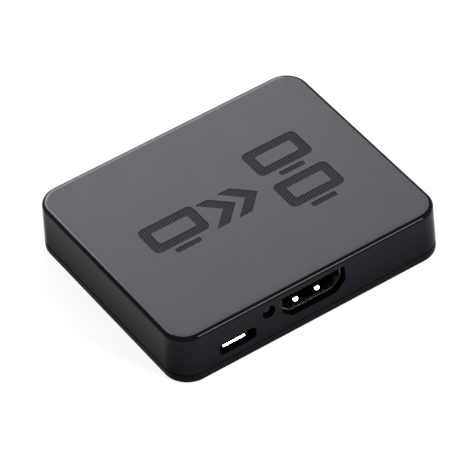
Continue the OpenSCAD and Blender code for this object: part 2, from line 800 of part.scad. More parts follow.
module splitter_chip() {
    corner = dot_inset - chip_w / 2;
    color([0.08, 0.08, 0.09]) difference() {
        chip_body(chip_w, chip_w, chip_h);
        translate([corner, corner, board_top + chip_standoff + chip_h - dot_depth])
            cylinder(r = dot_r, h = dot_depth + past);
    }
}

module splitter_chip_leads() {
    color([0.75, 0.75, 0.77]) for (q = [0:3]) rotate(90 * q)
        lead_row(chip_w, chip_lead_count, chip_pitch, chip_h / 2);
}

module at_memory_chip() {
    translate([memory_x, memory_y - board_d / 2, 0]) children();
}

module memory_chip() { color([0.08, 0.08, 0.09]) at_memory_chip() chip_body(memory_w, memory_d, memory_h); }

module memory_chip_leads() {
    leads_a_side = 4;
    color([0.75, 0.75, 0.77]) at_memory_chip() for (q = [0, 180]) rotate(q)
        lead_row(memory_d, leads_a_side, memory_w / leads_a_side, memory_h / 2);
}

module at_regulators() {
    for (s = [-1, 1]) translate([-regulator_x, s * regulator_span / 2, 0]) children();
}

module regulators() {
    color([0.08, 0.08, 0.09]) at_regulators() chip_body(regulator_w, regulator_d, regulator_h);
}

module regulator_leads() {
    legs = 3;
    color([0.75, 0.75, 0.77]) at_regulators() {
        lead_row(regulator_d, legs, regulator_w / legs, regulator_h / 2);
        translate([-regulator_tab_w / 2, -regulator_d / 2 - lead_reach, board_top])
            cube([regulator_tab_w, lead_reach, chip_standoff + lead_t]);
    }
}

// Row of surge arrays behind each video socket's contact feet
module at_surge_arrays() {
    y = video_len + surge_gap + lead_reach + surge_d / 2;
    at_video_sockets() for (i = [0:surge_count - 1])
        translate([(i - (surge_count - 1) / 2) * surge_pitch, y, -board_top]) children();
}

module surge_arrays() { color([0.08, 0.08, 0.09]) at_surge_arrays() chip_body(surge_w, surge_d, surge_h); }

module surge_array_leads() {
    legs = 3;
    color([0.75, 0.75, 0.77]) at_surge_arrays() for (q = [0, 180]) rotate(q)
        lead_row(surge_d, legs, surge_w / legs, surge_h / 2);
}

// Other board parts

module at_crystal() {
    translate([crystal_x, 0, board_top]) children();
}

// Flat oblong with nearly round ends
module oblong(w, l) {
    polygon(rounded(rectangle(w, l), (w - crystal_flat) / 2, 8));
}

module crystal_base() {
    color([0.7, 0.7, 0.72]) at_crystal() linear_extrude(crystal_base_t)
        oblong(crystal_w + 2 * crystal_flange, crystal_len + 2 * crystal_flange);
}

module crystal_can() {
    color([0.8, 0.8, 0.82]) at_crystal() translate([0, 0, crystal_base_t])
        linear_extrude(crystal_h) oblong(crystal_w, crystal_len);
}

module at_electrolytics() {
    for (s = [-1, 1]) translate([-can_x, s * can_span / 2, board_top]) children();
}

module electrolytic_cans() {
    color([0.78, 0.78, 0.8]) at_electrolytics() translate([0, 0, can_base_h]) rotate_extrude()
        polygon([[0, 0], [can_r, 0], [can_r, can_groove_z - can_groove],
            [can_r - can_groove, can_groove_z], [can_r, can_groove_z + can_groove],
            [can_r, can_h - can_groove], [can_r - can_groove, can_h], [0, can_h]]);
}

module electrolytic_bases() {
    color([0.1, 0.1, 0.1]) at_electrolytics() linear_extrude(can_base_h)
        polygon(rounded(rectangle(2 * can_r, 2 * can_r), can_groove, 2));
}

// Columns of small parts on both sides of the splitter chip
module at_column(x) {
    for (s = [-1, 1], i = [0:passive_count - 1])
        translate([s * x, (i - (passive_count - 1) / 2) * passive_pitch, board_top]) children();
}

// Body of a small two-ended part, lying along X
module small_body(l, w, h) {
    translate([end_len - l / 2, -w / 2, 0]) cube([l - 2 * end_len, w, h]);
}

module small_ends(l, w, h) {
    for (s = [0, 1]) translate([s * (l - end_len) - l / 2, -w / 2, 0]) cube([end_len, w, h]);
}

module ceramic_capacitors() {
    color([0.6, 0.45, 0.3]) at_column(ceramic_x) small_body(passive_len, passive_w, ceramic_h);
}

module ceramic_ends() {
    color([0.75, 0.75, 0.77]) at_column(ceramic_x) small_ends(passive_len, passive_w, ceramic_h);
}

module chip_resistors() {
    color([0.1, 0.1, 0.12]) at_column(resistor_x) small_body(passive_len, passive_w, resistor_h);
}

module resistor_ends() {
    color([0.75, 0.75, 0.77]) at_column(resistor_x) small_ends(passive_len, passive_w, resistor_h);
}

module at_fuse() {
    at_power_socket() translate([0, power_len + fuse_gap + fuse_w / 2, 0]) children();
}

module input_fuse() { color([0.2, 0.35, 0.2]) at_fuse() small_body(fuse_len, fuse_w, fuse_h); }

module fuse_ends() { color([0.75, 0.75, 0.77]) at_fuse() small_ends(fuse_len, fuse_w, fuse_h); }

top_cover();
base_plate();
case_screws();
circuit_board();
input_shell();
input_insulator();
input_contacts();
output_1_shell();
output_1_insulator();
output_1_contacts();
output_2_shell();
output_2_insulator();
output_2_contacts();
power_shell();
power_insulator();
power_contacts();
indicator_lens();
indicator_leads();
splitter_chip();
splitter_chip_leads();
memory_chip();
memory_chip_leads();
regulators();
regulator_leads();
surge_arrays();
surge_array_leads();
crystal_can();
crystal_base();
electrolytic_cans();
electrolytic_bases();
ceramic_capacitors();
ceramic_ends();
chip_resistors();
resistor_ends();
input_fuse();
fuse_ends();
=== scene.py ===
"""Studio scene of a small video signal splitter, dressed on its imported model.

The casing, its sockets, its screws and its indicator are modelled here. The pieces inside the
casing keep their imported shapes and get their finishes.
"""

import json
import logging
import math
from contextlib import contextmanager
from dataclasses import dataclass
from enum import Enum, IntEnum
from typing import Any, Callable, Iterator, Protocol, Sequence, Union

import bmesh
import bpy
from mathutils import Matrix, Vector


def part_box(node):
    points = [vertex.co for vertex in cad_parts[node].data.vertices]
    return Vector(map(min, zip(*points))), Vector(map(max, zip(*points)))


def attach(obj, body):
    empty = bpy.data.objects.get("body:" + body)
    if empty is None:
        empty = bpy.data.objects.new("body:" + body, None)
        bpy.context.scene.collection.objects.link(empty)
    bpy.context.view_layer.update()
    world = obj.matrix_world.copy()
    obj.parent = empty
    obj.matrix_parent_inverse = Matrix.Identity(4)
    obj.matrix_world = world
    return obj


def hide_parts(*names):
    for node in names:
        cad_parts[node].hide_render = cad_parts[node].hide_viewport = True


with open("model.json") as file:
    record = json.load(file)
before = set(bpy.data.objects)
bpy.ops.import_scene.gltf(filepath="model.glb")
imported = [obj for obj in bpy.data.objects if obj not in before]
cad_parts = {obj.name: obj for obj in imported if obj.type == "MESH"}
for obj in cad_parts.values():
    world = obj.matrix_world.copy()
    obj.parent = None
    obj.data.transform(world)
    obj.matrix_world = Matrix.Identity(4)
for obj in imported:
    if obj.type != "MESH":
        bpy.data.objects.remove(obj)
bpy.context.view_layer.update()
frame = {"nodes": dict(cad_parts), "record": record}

MM = 0.001
TINY = 0.01 * MM
WELD = MM / 1000
BODY = "root"
LOG = logging.getLogger("splitter")

# Least share of a normal along an axis, for a face that faces that way, squarely or only leaning
FACING = 0.9
SQUARE = 0.999
LEANING = 0.05

# Greatest share of a normal along an axis, for a face that stands across it
ACROSS = 0.1

# Middle of a pattern that goes from 0 to 1
MIDDLE = 0.5

WHITE = (1.0, 1.0, 1.0, 1.0)

Colour = tuple[float, float, float]
Step = tuple[float, float]
Number = Union[float, "Value"]


# Modelling


class Pick(Enum):
    """What a selection in edit mode is made of."""

    CORNERS = "VERT"
    EDGES = "EDGE"
    FACES = "FACE"


class Merge(Enum):
    """How a tool shape changes a piece."""

    CUT = "DIFFERENCE"
    ADD = "UNION"


def quarter_round(radius: float, count: int) -> list[Step]:
    """Steps of a quarter round, from an upright wall to a level top.

    Args:
        radius: Radius of the round.
        count: Number of rings in it.

    Returns:
        How far each ring is drawn in and lifted.
    """
    angles = [math.pi / 2 * i / count for i in range(count + 1)]
    return [
        (radius * (math.cos(a) - math.cos(b)), radius * (math.sin(b) - math.sin(a)))
        for a, b in zip(angles, angles[1:])
    ]


class Work:
    """One new mesh, shaped with Blender's own operators."""

    def __init__(self, name: str) -> None:
        """Takes over the primitive that was added last.

        Args:
            name: Name of the piece.
        """
        self.body: bpy.types.Object = bpy.context.active_object
        self.body.name = name
        self.body.data.name = name

    @classmethod
    def plate(cls, name: str, width: float, depth: float, centre: Sequence[float]) -> "Work":
        """Starts from a flat rectangle that faces up.

        Args:
            name: Name of the piece.
            width: Size along X.
            depth: Size along Y.
            centre: Middle of the rectangle.

        Returns:
            The new work.
        """
        bpy.ops.object.select_all(action="DESELECT")
        bpy.ops.mesh.primitive_plane_add(size=1, location=centre)
        return cls(name).resize((width, depth, 1))

    @classmethod
    def block(cls, name: str, size: Sequence[float], centre: Sequence[float]) -> "Work":
        """Starts from a box.

        Args:
            name: Name of the piece.
            size: Size along X, Y and Z.
            centre: Middle of the box.

        Returns:
            The new work.
        """
        bpy.ops.object.select_all(action="DESELECT")
        bpy.ops.mesh.primitive_cube_add(size=1, location=centre)
        return cls(name).resize(size)

    @classmethod
    def disc(cls, name: str, radius: float, centre: Sequence[float], sides: int = 48) -> "Work":
        """Starts from a flat disc that faces up.

        Args:
            name: Name of the piece.
            radius: Radius of the disc.
            centre: Middle of the disc.
            sides: Number of corners round it.

        Returns:
            The new work.
        """
        bpy.ops.object.select_all(action="DESELECT")
        bpy.ops.mesh.primitive_circle_add(vertices=sides, radius=radius, fill_type="NGON", location=centre)
        return cls(name).settle()

    @classmethod
    def rod(cls, name: str, radius: float, low: Sequence[float], length: float, sides: int = 48) -> "Work":
        """Starts from a disc and draws it up into a round rod.

        Args:
            name: Name of the piece.
            radius: Radius of the rod.
            low: Middle of its lower end.
            length: Length along Z.
            sides: Number of corners round it.

        Returns:
            The new work.
        """
        work = cls.disc(name, radius, low, sides)
        with work.editing(Pick.FACES):
            work.extrude((0, 0, length))
        return work.face_outwards()

    def activate(self) -> None:
        """Makes this the one selected object."""
        bpy.ops.object.select_all(action="DESELECT")
        self.body.select_set(True)
        bpy.context.view_layer.objects.active = self.body

    def settle(self) -> "Work":
        """Moves the object's place, turn and size into its mesh.

        Returns:
            The same work.
        """
        self.activate()
        bpy.ops.object.transform_apply(location=True, rotation=True, scale=True)
        return self

    def resize(self, scale: Sequence[float]) -> "Work":
        """Scales the mesh about its object's own middle."""
        self.body.scale = scale
        return self.settle()

    def turn(self, angles: Sequence[float]) -> "Work":
        """Turns the mesh about the origin, by angles round X, Y and Z."""
        self.body.rotation_euler = angles
        return self.settle()

    def move(self, by: Sequence[float]) -> "Work":
        """Moves the mesh."""
        self.body.location = by
        return self.settle()

    def copy(self, name: str) -> "Work":
        """Makes a copy with a mesh of its own.

        Args:
            name: Name of the copy.

        Returns:
            The copy.
        """
        self.activate()
        bpy.ops.object.duplicate(linked=False)
        return Work(name)

    @contextmanager
    def editing(self, pick: Pick) -> Iterator[None]:
        """Opens edit mode with everything selected, and closes it again.

        Args:
            pick: What selections are made of.
        """
        self.activate()
        bpy.ops.object.mode_set(mode="EDIT")
        bpy.ops.mesh.select_mode(type=pick.value)
        bpy.ops.mesh.select_all(action="SELECT")
        yield
        bpy.ops.object.mode_set(mode="OBJECT")

    def select(self, pick: Pick, test: Callable[[Any], bool]) -> None:
        """Selects elements in edit mode by their place or normal.

        Args:
            pick: What is selected.
            test: Tells whether an element belongs to the selection.
        """
        bpy.ops.mesh.select_mode(type=pick.value)
        bpy.ops.mesh.select_all(action="DESELECT")
        mesh = bmesh.from_edit_mesh(self.body.data)
        chosen = {Pick.CORNERS: mesh.verts, Pick.EDGES: mesh.edges, Pick.FACES: mesh.faces}[pick]
        for element in chosen:
            if test(element):
                element.select_set(True)
        bmesh.update_edit_mesh(self.body.data)

    def extrude(self, by: Sequence[float]) -> None:
        """Draws the selected faces out."""
        bpy.ops.mesh.extrude_region_move(TRANSFORM_OT_translate={"value": tuple(by)})

    def rings(self, steps: Sequence[Step]) -> None:
        """Draws the selected face in and lifts it along its normal, ring by ring.

        Args:
            steps: How far each ring is drawn in and lifted.
        """
        for inset, lift in steps:
            bpy.ops.mesh.inset(thickness=inset, depth=lift, use_boundary=True, use_even_offset=True)

    def score(self, test: Callable[[Any], bool], point: Sequence[float], normal: Sequence[float]) -> None:
        """Divides faces along a plane, in edit mode.

        Args:
            test: Tells which faces are divided.
            point: A point of the plane.
            normal: The plane's normal.
        """
        self.select(Pick.FACES, test)
        bpy.ops.mesh.bisect(plane_co=point, plane_no=normal, threshold=TINY)

    def round_corners(self, radius: float, segments: int, test: Callable[[Any], bool]) -> None:
        """Rounds corners of a flat outline in edit mode.

        Args:
            radius: Distance from a corner at which its round begins.
            segments: Number of edges in a round.
            test: Tells which corners are rounded.
        """
        self.select(Pick.CORNERS, test)
        bpy.ops.mesh.bevel(offset=radius, segments=segments, affect="VERTICES")

    def close(self) -> None:
        """Puts a face in the open edge of the shape and selects it, in edit mode."""
        self.select(Pick.EDGES, lambda edge: edge.is_boundary)
        bpy.ops.mesh.edge_face_add()

    def face_outwards(self) -> "Work":
        """Merges doubled corners and points every face outwards.

        Returns:
            The same work.
        """
        with self.editing(Pick.FACES):
            bpy.ops.mesh.remove_doubles(threshold=WELD)
            bpy.ops.mesh.select_all(action="SELECT")
            bpy.ops.mesh.normals_make_consistent(inside=False)
        return self

    def modify(self, kind: str, **settings: Any) -> "Work":
        """Adds a modifier and applies it.

        Args:
            kind: Type of the modifier.
            settings: Its settings.

        Returns:
            The same work.
        """
        self.activate()
        modifier = self.body.modifiers.new(kind.lower(), kind)
        for name, value in settings.items():
            setattr(modifier, name, value)
        bpy.ops.object.modifier_apply(modifier=modifier.name)
        return self

    def merge(self, how: Merge, *tools: "Work") -> "Work":
        """Cuts tool shapes away or adds them, and removes them.

        Args:
            how: Whether the tools are cut away or added.
            tools: The tool shapes.

        Returns:
            The same work.
        """
        for tool in tools:
            self.modify("BOOLEAN", operation=how.value, solver="EXACT", object=tool.body)
            bpy.data.meshes.remove(tool.body.data)
        return self

    def soften(self, angle: float = math.radians(32)) -> "Work":
        """Shades round stretches smoothly and keeps flat faces flat.

        Args:
            angle: Angle between two faces above which their edge stays sharp.

        Returns:
            The same work.
        """
        self.activate()
        bpy.ops.object.shade_smooth_by_angle(angle=angle)
        return self.modify("WEIGHTED_NORMAL", keep_sharp=True, weight=100)

    def paint(self, materials: Sequence[bpy.types.Material], chooser: Callable[[Any], int]) -> "Work":
        """Gives each face one of several materials.

        Args:
            materials: The materials, in the order of their slots.
            chooser: Gives the slot's number for a polygon.

        Returns:
            The same work.
        """
        mesh = self.body.data
        mesh.materials.clear()
        for material in materials:
            mesh.materials.append(material)
        for polygon in mesh.polygons:
            polygon.material_index = chooser(polygon)
        return self

    def fit(self, slot: str, *nodes: str) -> None:
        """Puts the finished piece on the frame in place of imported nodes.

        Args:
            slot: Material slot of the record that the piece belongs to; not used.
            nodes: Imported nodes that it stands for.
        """
        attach(self.body, BODY)
        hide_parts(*nodes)
        LOG.info("%s: %d faces, for %s", self.body.name, len(self.body.data.polygons), ", ".join(nodes))


# Shaders


class Value:
    """A shader socket that takes part in Python arithmetic."""

    def __init__(self, graph: "Graph", socket: bpy.types.NodeSocket) -> None:
        """Wraps a socket.

        Args:
            graph: Node tree that the socket belongs to.
            socket: The socket.
        """
        self.graph = graph
        self.socket = socket

    def _math(self, operation: str, first: Number, second: Number = 0.0) -> "Value":
        """Adds a Math node.

        Args:
            operation: What the node does.
            first: Its first value.
            second: Its second value.

        Returns:
            The node's result.
        """
        return self.graph.result("ShaderNodeMath", {"operation": operation}, {0: first, 1: second})

    def __add__(self, other: Number) -> "Value":
        """Sum."""
        return self._math("ADD", self, other)

    __radd__ = __add__

    def __mul__(self, other: Number) -> "Value":
        """Product."""
        return self._math("MULTIPLY", self, other)

    __rmul__ = __mul__

    def __sub__(self, other: Number) -> "Value":
        """Difference."""
        return self._math("SUBTRACT", self, other)

    def __rsub__(self, other: Number) -> "Value":
        """Difference from a number."""
        return self._math("SUBTRACT", other, self)

    def __gt__(self, other: Number) -> "Value":
        """One where this is greater, and otherwise zero."""
        return self._math("GREATER_THAN", self, other)

    def sine(self) -> "Value":
        """Sine of the value."""
        return self._math("SINE", self)

    def most(self, other: Number) -> "Value":
        """The greater of the two."""
        return self._math("MAXIMUM", self, other)


class Graph:
    """A node tree that is built up from Python."""

    def __init__(self, tree: bpy.types.NodeTree) -> None:
        """Takes over a node tree.

        Args:
            tree: The node tree.
        """
        self.tree = tree

    def node(
        self,
        kind: str,
        settings: dict[str, Any] | None = None,
        inputs: dict[Union[str, int], Any] | None = None,
    ) -> bpy.types.Node:
        """Adds a node.

        Args:
            kind: Type of the node.
            settings: Its settings, which are set first.
            inputs: Values or links of its sockets.

        Returns:
            The node.
        """
        node = self.tree.nodes.new(kind)
        for name, value in (settings or {}).items():
            setattr(node, name, value)
        self.feed(node, inputs or {})
        return node

    def result(
        self,
        kind: str,
        settings: dict[str, Any] | None = None,
        inputs: dict[Union[str, int], Any] | None = None,
    ) -> Value:
        """Adds a node for its first output.

        Args:
            kind: Type of the node.
            settings: Its settings, which are set first.
            inputs: Values or links of its sockets.

        Returns:
            The node's first output.
        """
        return Value(self, self.node(kind, settings, inputs).outputs[0])

    def feed(self, node: bpy.types.Node, inputs: dict[Union[str, int], Any]) -> None:
        """Sets or links the sockets of a node.

        Args:
            node: The node.
            inputs: Values or links of its sockets.
        """
        for name, value in inputs.items():
            if isinstance(value, Value):
                self.tree.links.new(value.socket, node.inputs[name])
            else:
                node.inputs[name].default_value = value


class Shader(Graph):
    """A node material with one surface shader."""

    def __init__(self, name: str) -> None:
        """Starts the material.

        Args:
            name: Name of the material.
        """
        self.material = bpy.data.materials.new(name)
        self.material.use_nodes = True
        super().__init__(self.material.node_tree)
        self.surface = self.tree.nodes["Principled BSDF"]
        coordinates = self.node("ShaderNodeTexCoord")
        self.place = Value(self, coordinates.outputs["Object"])

    def noise(self, size: float, detail: float = 2.0, place: Value | None = None) -> Value:
        """Cloudy pattern.

        Args:
            size: Size of a cloud.
            detail: Number of finer layers in it.
            place: Coordinates to use, if not the object's own.

        Returns:
            The pattern, from 0 to 1.
        """
        inputs = {"Vector": place or self.place, "Scale": 1 / size, "Detail": detail}
        return self.result("ShaderNodeTexNoise", {}, inputs)

    def stretched(self, scale: Sequence[float]) -> Value:
        """Object coordinates that are scaled along their axes."""
        return self.result("ShaderNodeMapping", {}, {"Vector": self.place, "Scale": tuple(scale)})

    def axes(self) -> tuple[Value, Value, Value]:
        """Object coordinates along X, Y and Z."""
        node = self.node("ShaderNodeSeparateXYZ", {}, {0: self.place})
        return tuple(Value(self, output) for output in node.outputs)

    def blend(self, share: Number, first: Any, second: Any) -> Value:
        """Mixes two colours.

        Args:
            share: Share of the second colour.
            first: First colour, or a link to one.
            second: Second colour, or a link to one.

        Returns:
            The mixed colour.
        """
        colours = [c if isinstance(c, Value) else (*c, 1.0) for c in (first, second)]
        # The node's sockets share their names between kinds of data, so they go by number
        node = self.node("ShaderNodeMix", {"data_type": "RGBA"}, {0: share, 6: colours[0], 7: colours[1]})
        return Value(self, node.outputs[2])

    def bump(self, height: Value, depth: float) -> Value:
        """Normal of a surface with a fine relief.

        Args:
            height: Relief, from 0 to 1.
            depth: Height of the relief.

        Returns:
            The normal.
        """
        return self.result("ShaderNodeBump", {}, {"Height": height, "Distance": depth, "Strength": 1.0})

    def dress(self, **inputs: Any) -> bpy.types.Material:
        """Sets the surface's sockets, named with underscores for spaces.

        Args:
            inputs: Values or links of the sockets.

        Returns:
            The finished material.
        """
        self.feed(self.surface, {name.replace("_", " "): value for name, value in inputs.items()})
        return self.material


class Finish(Protocol):
    """A finish that can be made into a material."""

    def material(self) -> bpy.types.Material:
        """Builds the material."""


@dataclass(frozen=True)
class Moulding:
    """Moulded plastic, resin or ceramic with a fine surface grain.

    With a painted fade, the shade turns into the colour between two heights and a painted sheen grows in the
    coat with it, so that the reflection is painted darker towards the foot.
    """

    name: str
    colour: Colour
    shade: Colour
    roughness: float
    gloss: float
    grain: float
    grain_depth: float
    smear: float = 0.06
    cloud_size: float = 9 * MM
    fleck: float = 0.0
    fleck_size: float = 0.7 * MM
    painted_fade: Step | None = None
    painted_fade_cloud: float = 0.3
    painted_sheen: float = 0.0

    def material(self) -> bpy.types.Material:
        """Builds the material.

        Returns:
            The material.
        """
        shader = Shader(self.name)
        cloud = shader.noise(self.cloud_size, detail=3)
        grain = shader.noise(self.grain)
        share = cloud
        if self.fleck:
            share = cloud + (shader.noise(self.fleck_size) - MIDDLE) * self.fleck
        # Painted shade and sheen: colour and coat change with height, darker reflection towards the foot and
        # lighter towards the top
        if self.painted_fade:
            low, high = self.painted_fade
            share = (high - shader.axes()[2]) * (1 / (high - low)) + (cloud - MIDDLE) * self.painted_fade_cloud
            shader.dress(Coat_Weight=(1 - share) * self.painted_sheen)
        return shader.dress(
            Specular_IOR_Level=self.gloss,
            Base_Color=shader.blend(share, self.colour, self.shade),
            Roughness=cloud * self.smear + (self.roughness - self.smear / 2),
            Normal=shader.bump(grain, self.grain_depth),
        )


@dataclass(frozen=True)
class Hatching:
    """Sunken mark whose floor is cut with fine slanting lines."""

    name: str
    line: Colour
    floor: Colour
    pitch: float
    slant: float
    roughness: float
    gloss: float
    waver: float = 0.6
    waver_size: float = 3 * MM
    spread: float = 0.1
    relief: float = 0.02 * MM

    def material(self) -> bpy.types.Material:
        """Builds the material.

        Returns:
            The material.
        """
        shader = Shader(self.name)
        x, y, _ = shader.axes()
        waver = shader.noise(self.waver_size, detail=1) * (self.pitch * self.waver)
        across = x * math.cos(self.slant) + y * math.sin(self.slant) + waver
        wave = (across * (2 * math.pi / self.pitch)).sine() * MIDDLE + MIDDLE
        return shader.dress(
            Specular_IOR_Level=self.gloss,
            Base_Color=shader.blend(wave, self.floor, self.line),
            Roughness=wave * self.spread + self.roughness,
            Normal=shader.bump(wave, self.relief),
        )


@dataclass(frozen=True)
class Plating:
    """Plated sheet metal or wire with faint drawing marks."""

    name: str
    colour: Colour
    tarnish: Colour
    roughness: float
    drawn: tuple[float, float, float] = (1.0, 1.0, 8.0)
    streak_size: float = 0.6 * MM
    stain_size: float = 2.5 * MM
    spread: float = 0.12
    relief: float = 0.002 * MM

    def material(self) -> bpy.types.Material:
        """Builds the material.

        Returns:
            The material.
        """
        shader = Shader(self.name)
        streak = shader.noise(self.streak_size, detail=3, place=shader.stretched(self.drawn))
        stain = shader.noise(self.stain_size)
        return shader.dress(
            Metallic=1.0,
            Base_Color=shader.blend(stain, self.colour, self.tarnish),
            Roughness=streak * self.spread + (self.roughness - self.spread / 2),
            Normal=shader.bump(streak, self.relief),
        )


@dataclass(frozen=True)
class Laminate:
    """Circuit board with solder mask over its copper tracks."""

    name: str
    mask: Colour
    track: Colour
    pitch: float
    line_limit: float = 0.35
    drift: float = 6 * MM
    drift_size: float = 7 * MM
    area_limit: float = 0.52
    area_size: float = 5 * MM
    cloud_size: float = 2 * MM
    roughness: float = 0.28
    spread: float = 0.1
    gloss: float = 0.5
    relief: float = 0.03 * MM

    def material(self) -> bpy.types.Material:
        """Builds the material.

        Returns:
            The material.
        """
        shader = Shader(self.name)
        x, y, _ = shader.axes()
        drift = shader.noise(self.drift_size, detail=0) * self.drift
        lines = ((x + y + drift) * (2 * math.pi / self.pitch)).sine() > self.line_limit
        area = shader.noise(self.area_size, detail=0) > self.area_limit
        tracks = lines * area
        return shader.dress(
            Specular_IOR_Level=self.gloss,
            Base_Color=shader.blend(tracks, self.mask, self.track),
            Roughness=shader.noise(self.cloud_size) * self.spread + self.roughness,
            Normal=shader.bump(tracks, self.relief),
        )


@dataclass(frozen=True)
class Resin:
    """Tinted clear resin of the indicator."""

    name: str
    colour: Colour
    depth: Colour
    clearness: float
    gloss: float
    cloud_size: float = 0.8 * MM
    roughness: float = 0.1
    spread: float = 0.08

    def material(self) -> bpy.types.Material:
        """Builds the material.

        Returns:
            The material.
        """
        shader = Shader(self.name)
        cloud = shader.noise(self.cloud_size)
        return shader.dress(
            Transmission_Weight=self.clearness,
            Specular_IOR_Level=self.gloss,
            Base_Color=shader.blend(cloud, self.colour, self.depth),
            Roughness=cloud * self.spread + self.roughness,
        )


ROOF = Moulding(
    "roof_satin", colour=(0.0735, 0.0715, 0.0905), shade=(0.067, 0.065, 0.083), roughness=0.46, gloss=0.24,
    grain=0.16 * MM, grain_depth=0.004 * MM, fleck=4.0,
)
# Painted highlight: a lighter, glossier copy of the roof's finish, laid on the roof's border at the back and
# at the left
RIM = Moulding(
    "rim_painted_highlight", colour=(0.078, 0.076, 0.096), shade=(0.071, 0.069, 0.088), roughness=0.22, gloss=0.40,
    grain=0.16 * MM, grain_depth=0.002 * MM,
)
# Painted fade: the wall's colour and coat sheen change with height, a painted shade at its foot where it
# mirrors the floor's shadow
WALL = Moulding(
    "wall_gloss_painted_fade", colour=(0.0080, 0.0075, 0.0124), shade=(0.0104, 0.0098, 0.0145), roughness=0.14,
    gloss=0.013, grain=1.4 * MM, grain_depth=0.002 * MM, painted_fade=(3 * MM, 10.5 * MM), painted_sheen=0.165,
)
# Partly painted shade: the glossy round of the roof's edge is given a darker colour than the walls, for its
# dark band
EDGE = Moulding(
    "edge_gloss_painted_shade", colour=(0.0030, 0.0028, 0.0046), shade=(0.0026, 0.0024, 0.0040), roughness=0.07, gloss=0.06,
    grain=1.4 * MM, grain_depth=0.001 * MM,
)
BASE = Moulding(
    "base_gloss", colour=(0.0078, 0.0069, 0.0084), shade=(0.0069, 0.0061, 0.0074), roughness=0.42, gloss=0.02,
    grain=0.9 * MM, grain_depth=0.003 * MM,
)
# Painted shade: the reveals of the openings are the walls' plastic, given this near-black colour and little
# gloss because they lie in shade
CUT = Moulding(
    "cut_painted_shade", colour=(0.0023, 0.0022, 0.0030), shade=(0.0019, 0.0018, 0.0026), roughness=0.50, gloss=0.01,
    grain=0.4 * MM, grain_depth=0.002 * MM,
)
MARK = Hatching(
    "mark_hatched", line=(0.055, 0.054, 0.066), floor=(0.016, 0.016, 0.020), pitch=0.62 * MM,
    slant=math.radians(-65), roughness=0.5, gloss=0.05,
)
# Partly painted shade: the sheared front faces of the video shells are given a far darker metal than their
# plating
SHEAR_AND_SHADE = Plating("socket_edge_painted_shade", colour=(0.10, 0.098, 0.096), tarnish=(0.08, 0.078, 0.076), roughness=0.30)

FINISHES: dict[str, Finish] = {
    "cover_plastic": WALL,
    "base_plastic": BASE,
    "screw_steel": Plating(
        "screw_zinc", colour=(0.46, 0.46, 0.47), tarnish=(0.36, 0.36, 0.37), roughness=0.34
    ),
    "board_laminate": Laminate(
        "board_mask", mask=(0.006, 0.007, 0.008), track=(0.012, 0.013, 0.015), pitch=0.9 * MM
    ),
    "socket_metal": Plating(
        "socket_nickel", colour=(0.40, 0.395, 0.39), tarnish=(0.34, 0.335, 0.325), roughness=0.17
    ),
    "insulator_plastic": Moulding(
        "insulator_black", colour=(0.014, 0.014, 0.015), shade=(0.011, 0.011, 0.012), roughness=0.5,
        gloss=0.3, grain=0.2 * MM, grain_depth=0.004 * MM,
    ),
    # Painted shade: the gold contacts, which lie in shade inside the sockets, are given a much darker gold
    "contact_metal": Plating(
        "contact_gold_painted_shade", colour=(0.08, 0.056, 0.024), tarnish=(0.065, 0.045, 0.019), roughness=0.5
    ),
    "lens_resin": Resin(
        "lens_tint", colour=(0.014, 0.007, 0.0065), depth=(0.011, 0.0055, 0.005), clearness=0.15, gloss=0.13
    ),
    "tinned_leads": Plating(
        "lead_tin", colour=(0.66, 0.66, 0.67), tarnish=(0.56, 0.56, 0.57), roughness=0.36
    ),
    "chip_resin": Moulding(
        "chip_black", colour=(0.030, 0.030, 0.032), shade=(0.022, 0.022, 0.024), roughness=0.55, gloss=0.4,
        grain=0.12 * MM, grain_depth=0.006 * MM,
    ),
    "can_metal": Plating(
        "can_aluminium", colour=(0.72, 0.72, 0.73), tarnish=(0.62, 0.62, 0.63), roughness=0.3
    ),
    "ceramic_body": Moulding(
        "ceramic_tan", colour=(0.50, 0.36, 0.24), shade=(0.44, 0.31, 0.20), roughness=0.5, gloss=0.4,
        grain=0.1 * MM, grain_depth=0.004 * MM,
    ),
    "resistor_body": Moulding(
        "resistor_glaze", colour=(0.030, 0.030, 0.035), shade=(0.022, 0.022, 0.026), roughness=0.3, gloss=0.5,
        grain=0.1 * MM, grain_depth=0.002 * MM,
    ),
    "fuse_body": Moulding(
        "fuse_green", colour=(0.04, 0.11, 0.05), shade=(0.03, 0.09, 0.04), roughness=0.4, gloss=0.5,
        grain=0.1 * MM, grain_depth=0.003 * MM,
    ),
}


# Casing


@dataclass(frozen=True)
class SocketOutline:
    """Outline of a socket's opening above the board, with sloping lower corners."""

    width: float
    height: float
    lift: float
    corner_w: float
    corner_h: float
    bend: float
    sheet: float
    top_steps: int = 6
    low_steps: int = 4

    @property
    def ceiling(self) -> float:
        """Height of the opening's ceiling above the board."""
        return self.lift + self.height

    def plate(self, name: str, grow: float, radius: float) -> Work:
        """Draws the outline as a flat face, with the socket's height along Y.

        Args:
            name: Name of the face.
            grow: How far the outline is drawn outwards.
            radius: Radius of its corners.

        Returns:
            The face, with its front towards +Z.
        """
        slope = math.atan2(self.corner_h, self.corner_w)
        half_turn = (math.pi / 2 - slope) / 2
        side = self.width / 2 + grow
        low = self.lift + self.corner_h - grow * math.tan(half_turn)
        work = Work.plate(name, 2 * side, self.height + 2 * grow, (0, self.lift + self.height / 2, 0))
        with work.editing(Pick.FACES):
            for sign in (-1, 1):
                bpy.ops.mesh.select_all(action="SELECT")
                away = Vector((sign * self.corner_h, -self.corner_w, 0)).normalized()
                point = (sign * side, low, 0)
                bpy.ops.mesh.bisect(plane_co=point, plane_no=away, clear_outer=True, threshold=TINY)
            work.round_corners(radius, self.top_steps, lambda corner: corner.co.y > self.ceiling - TINY)
            low_radius = radius * math.tan(half_turn)
            work.round_corners(low_radius, self.low_steps, lambda corner: corner.co.y < low + TINY)
        return work


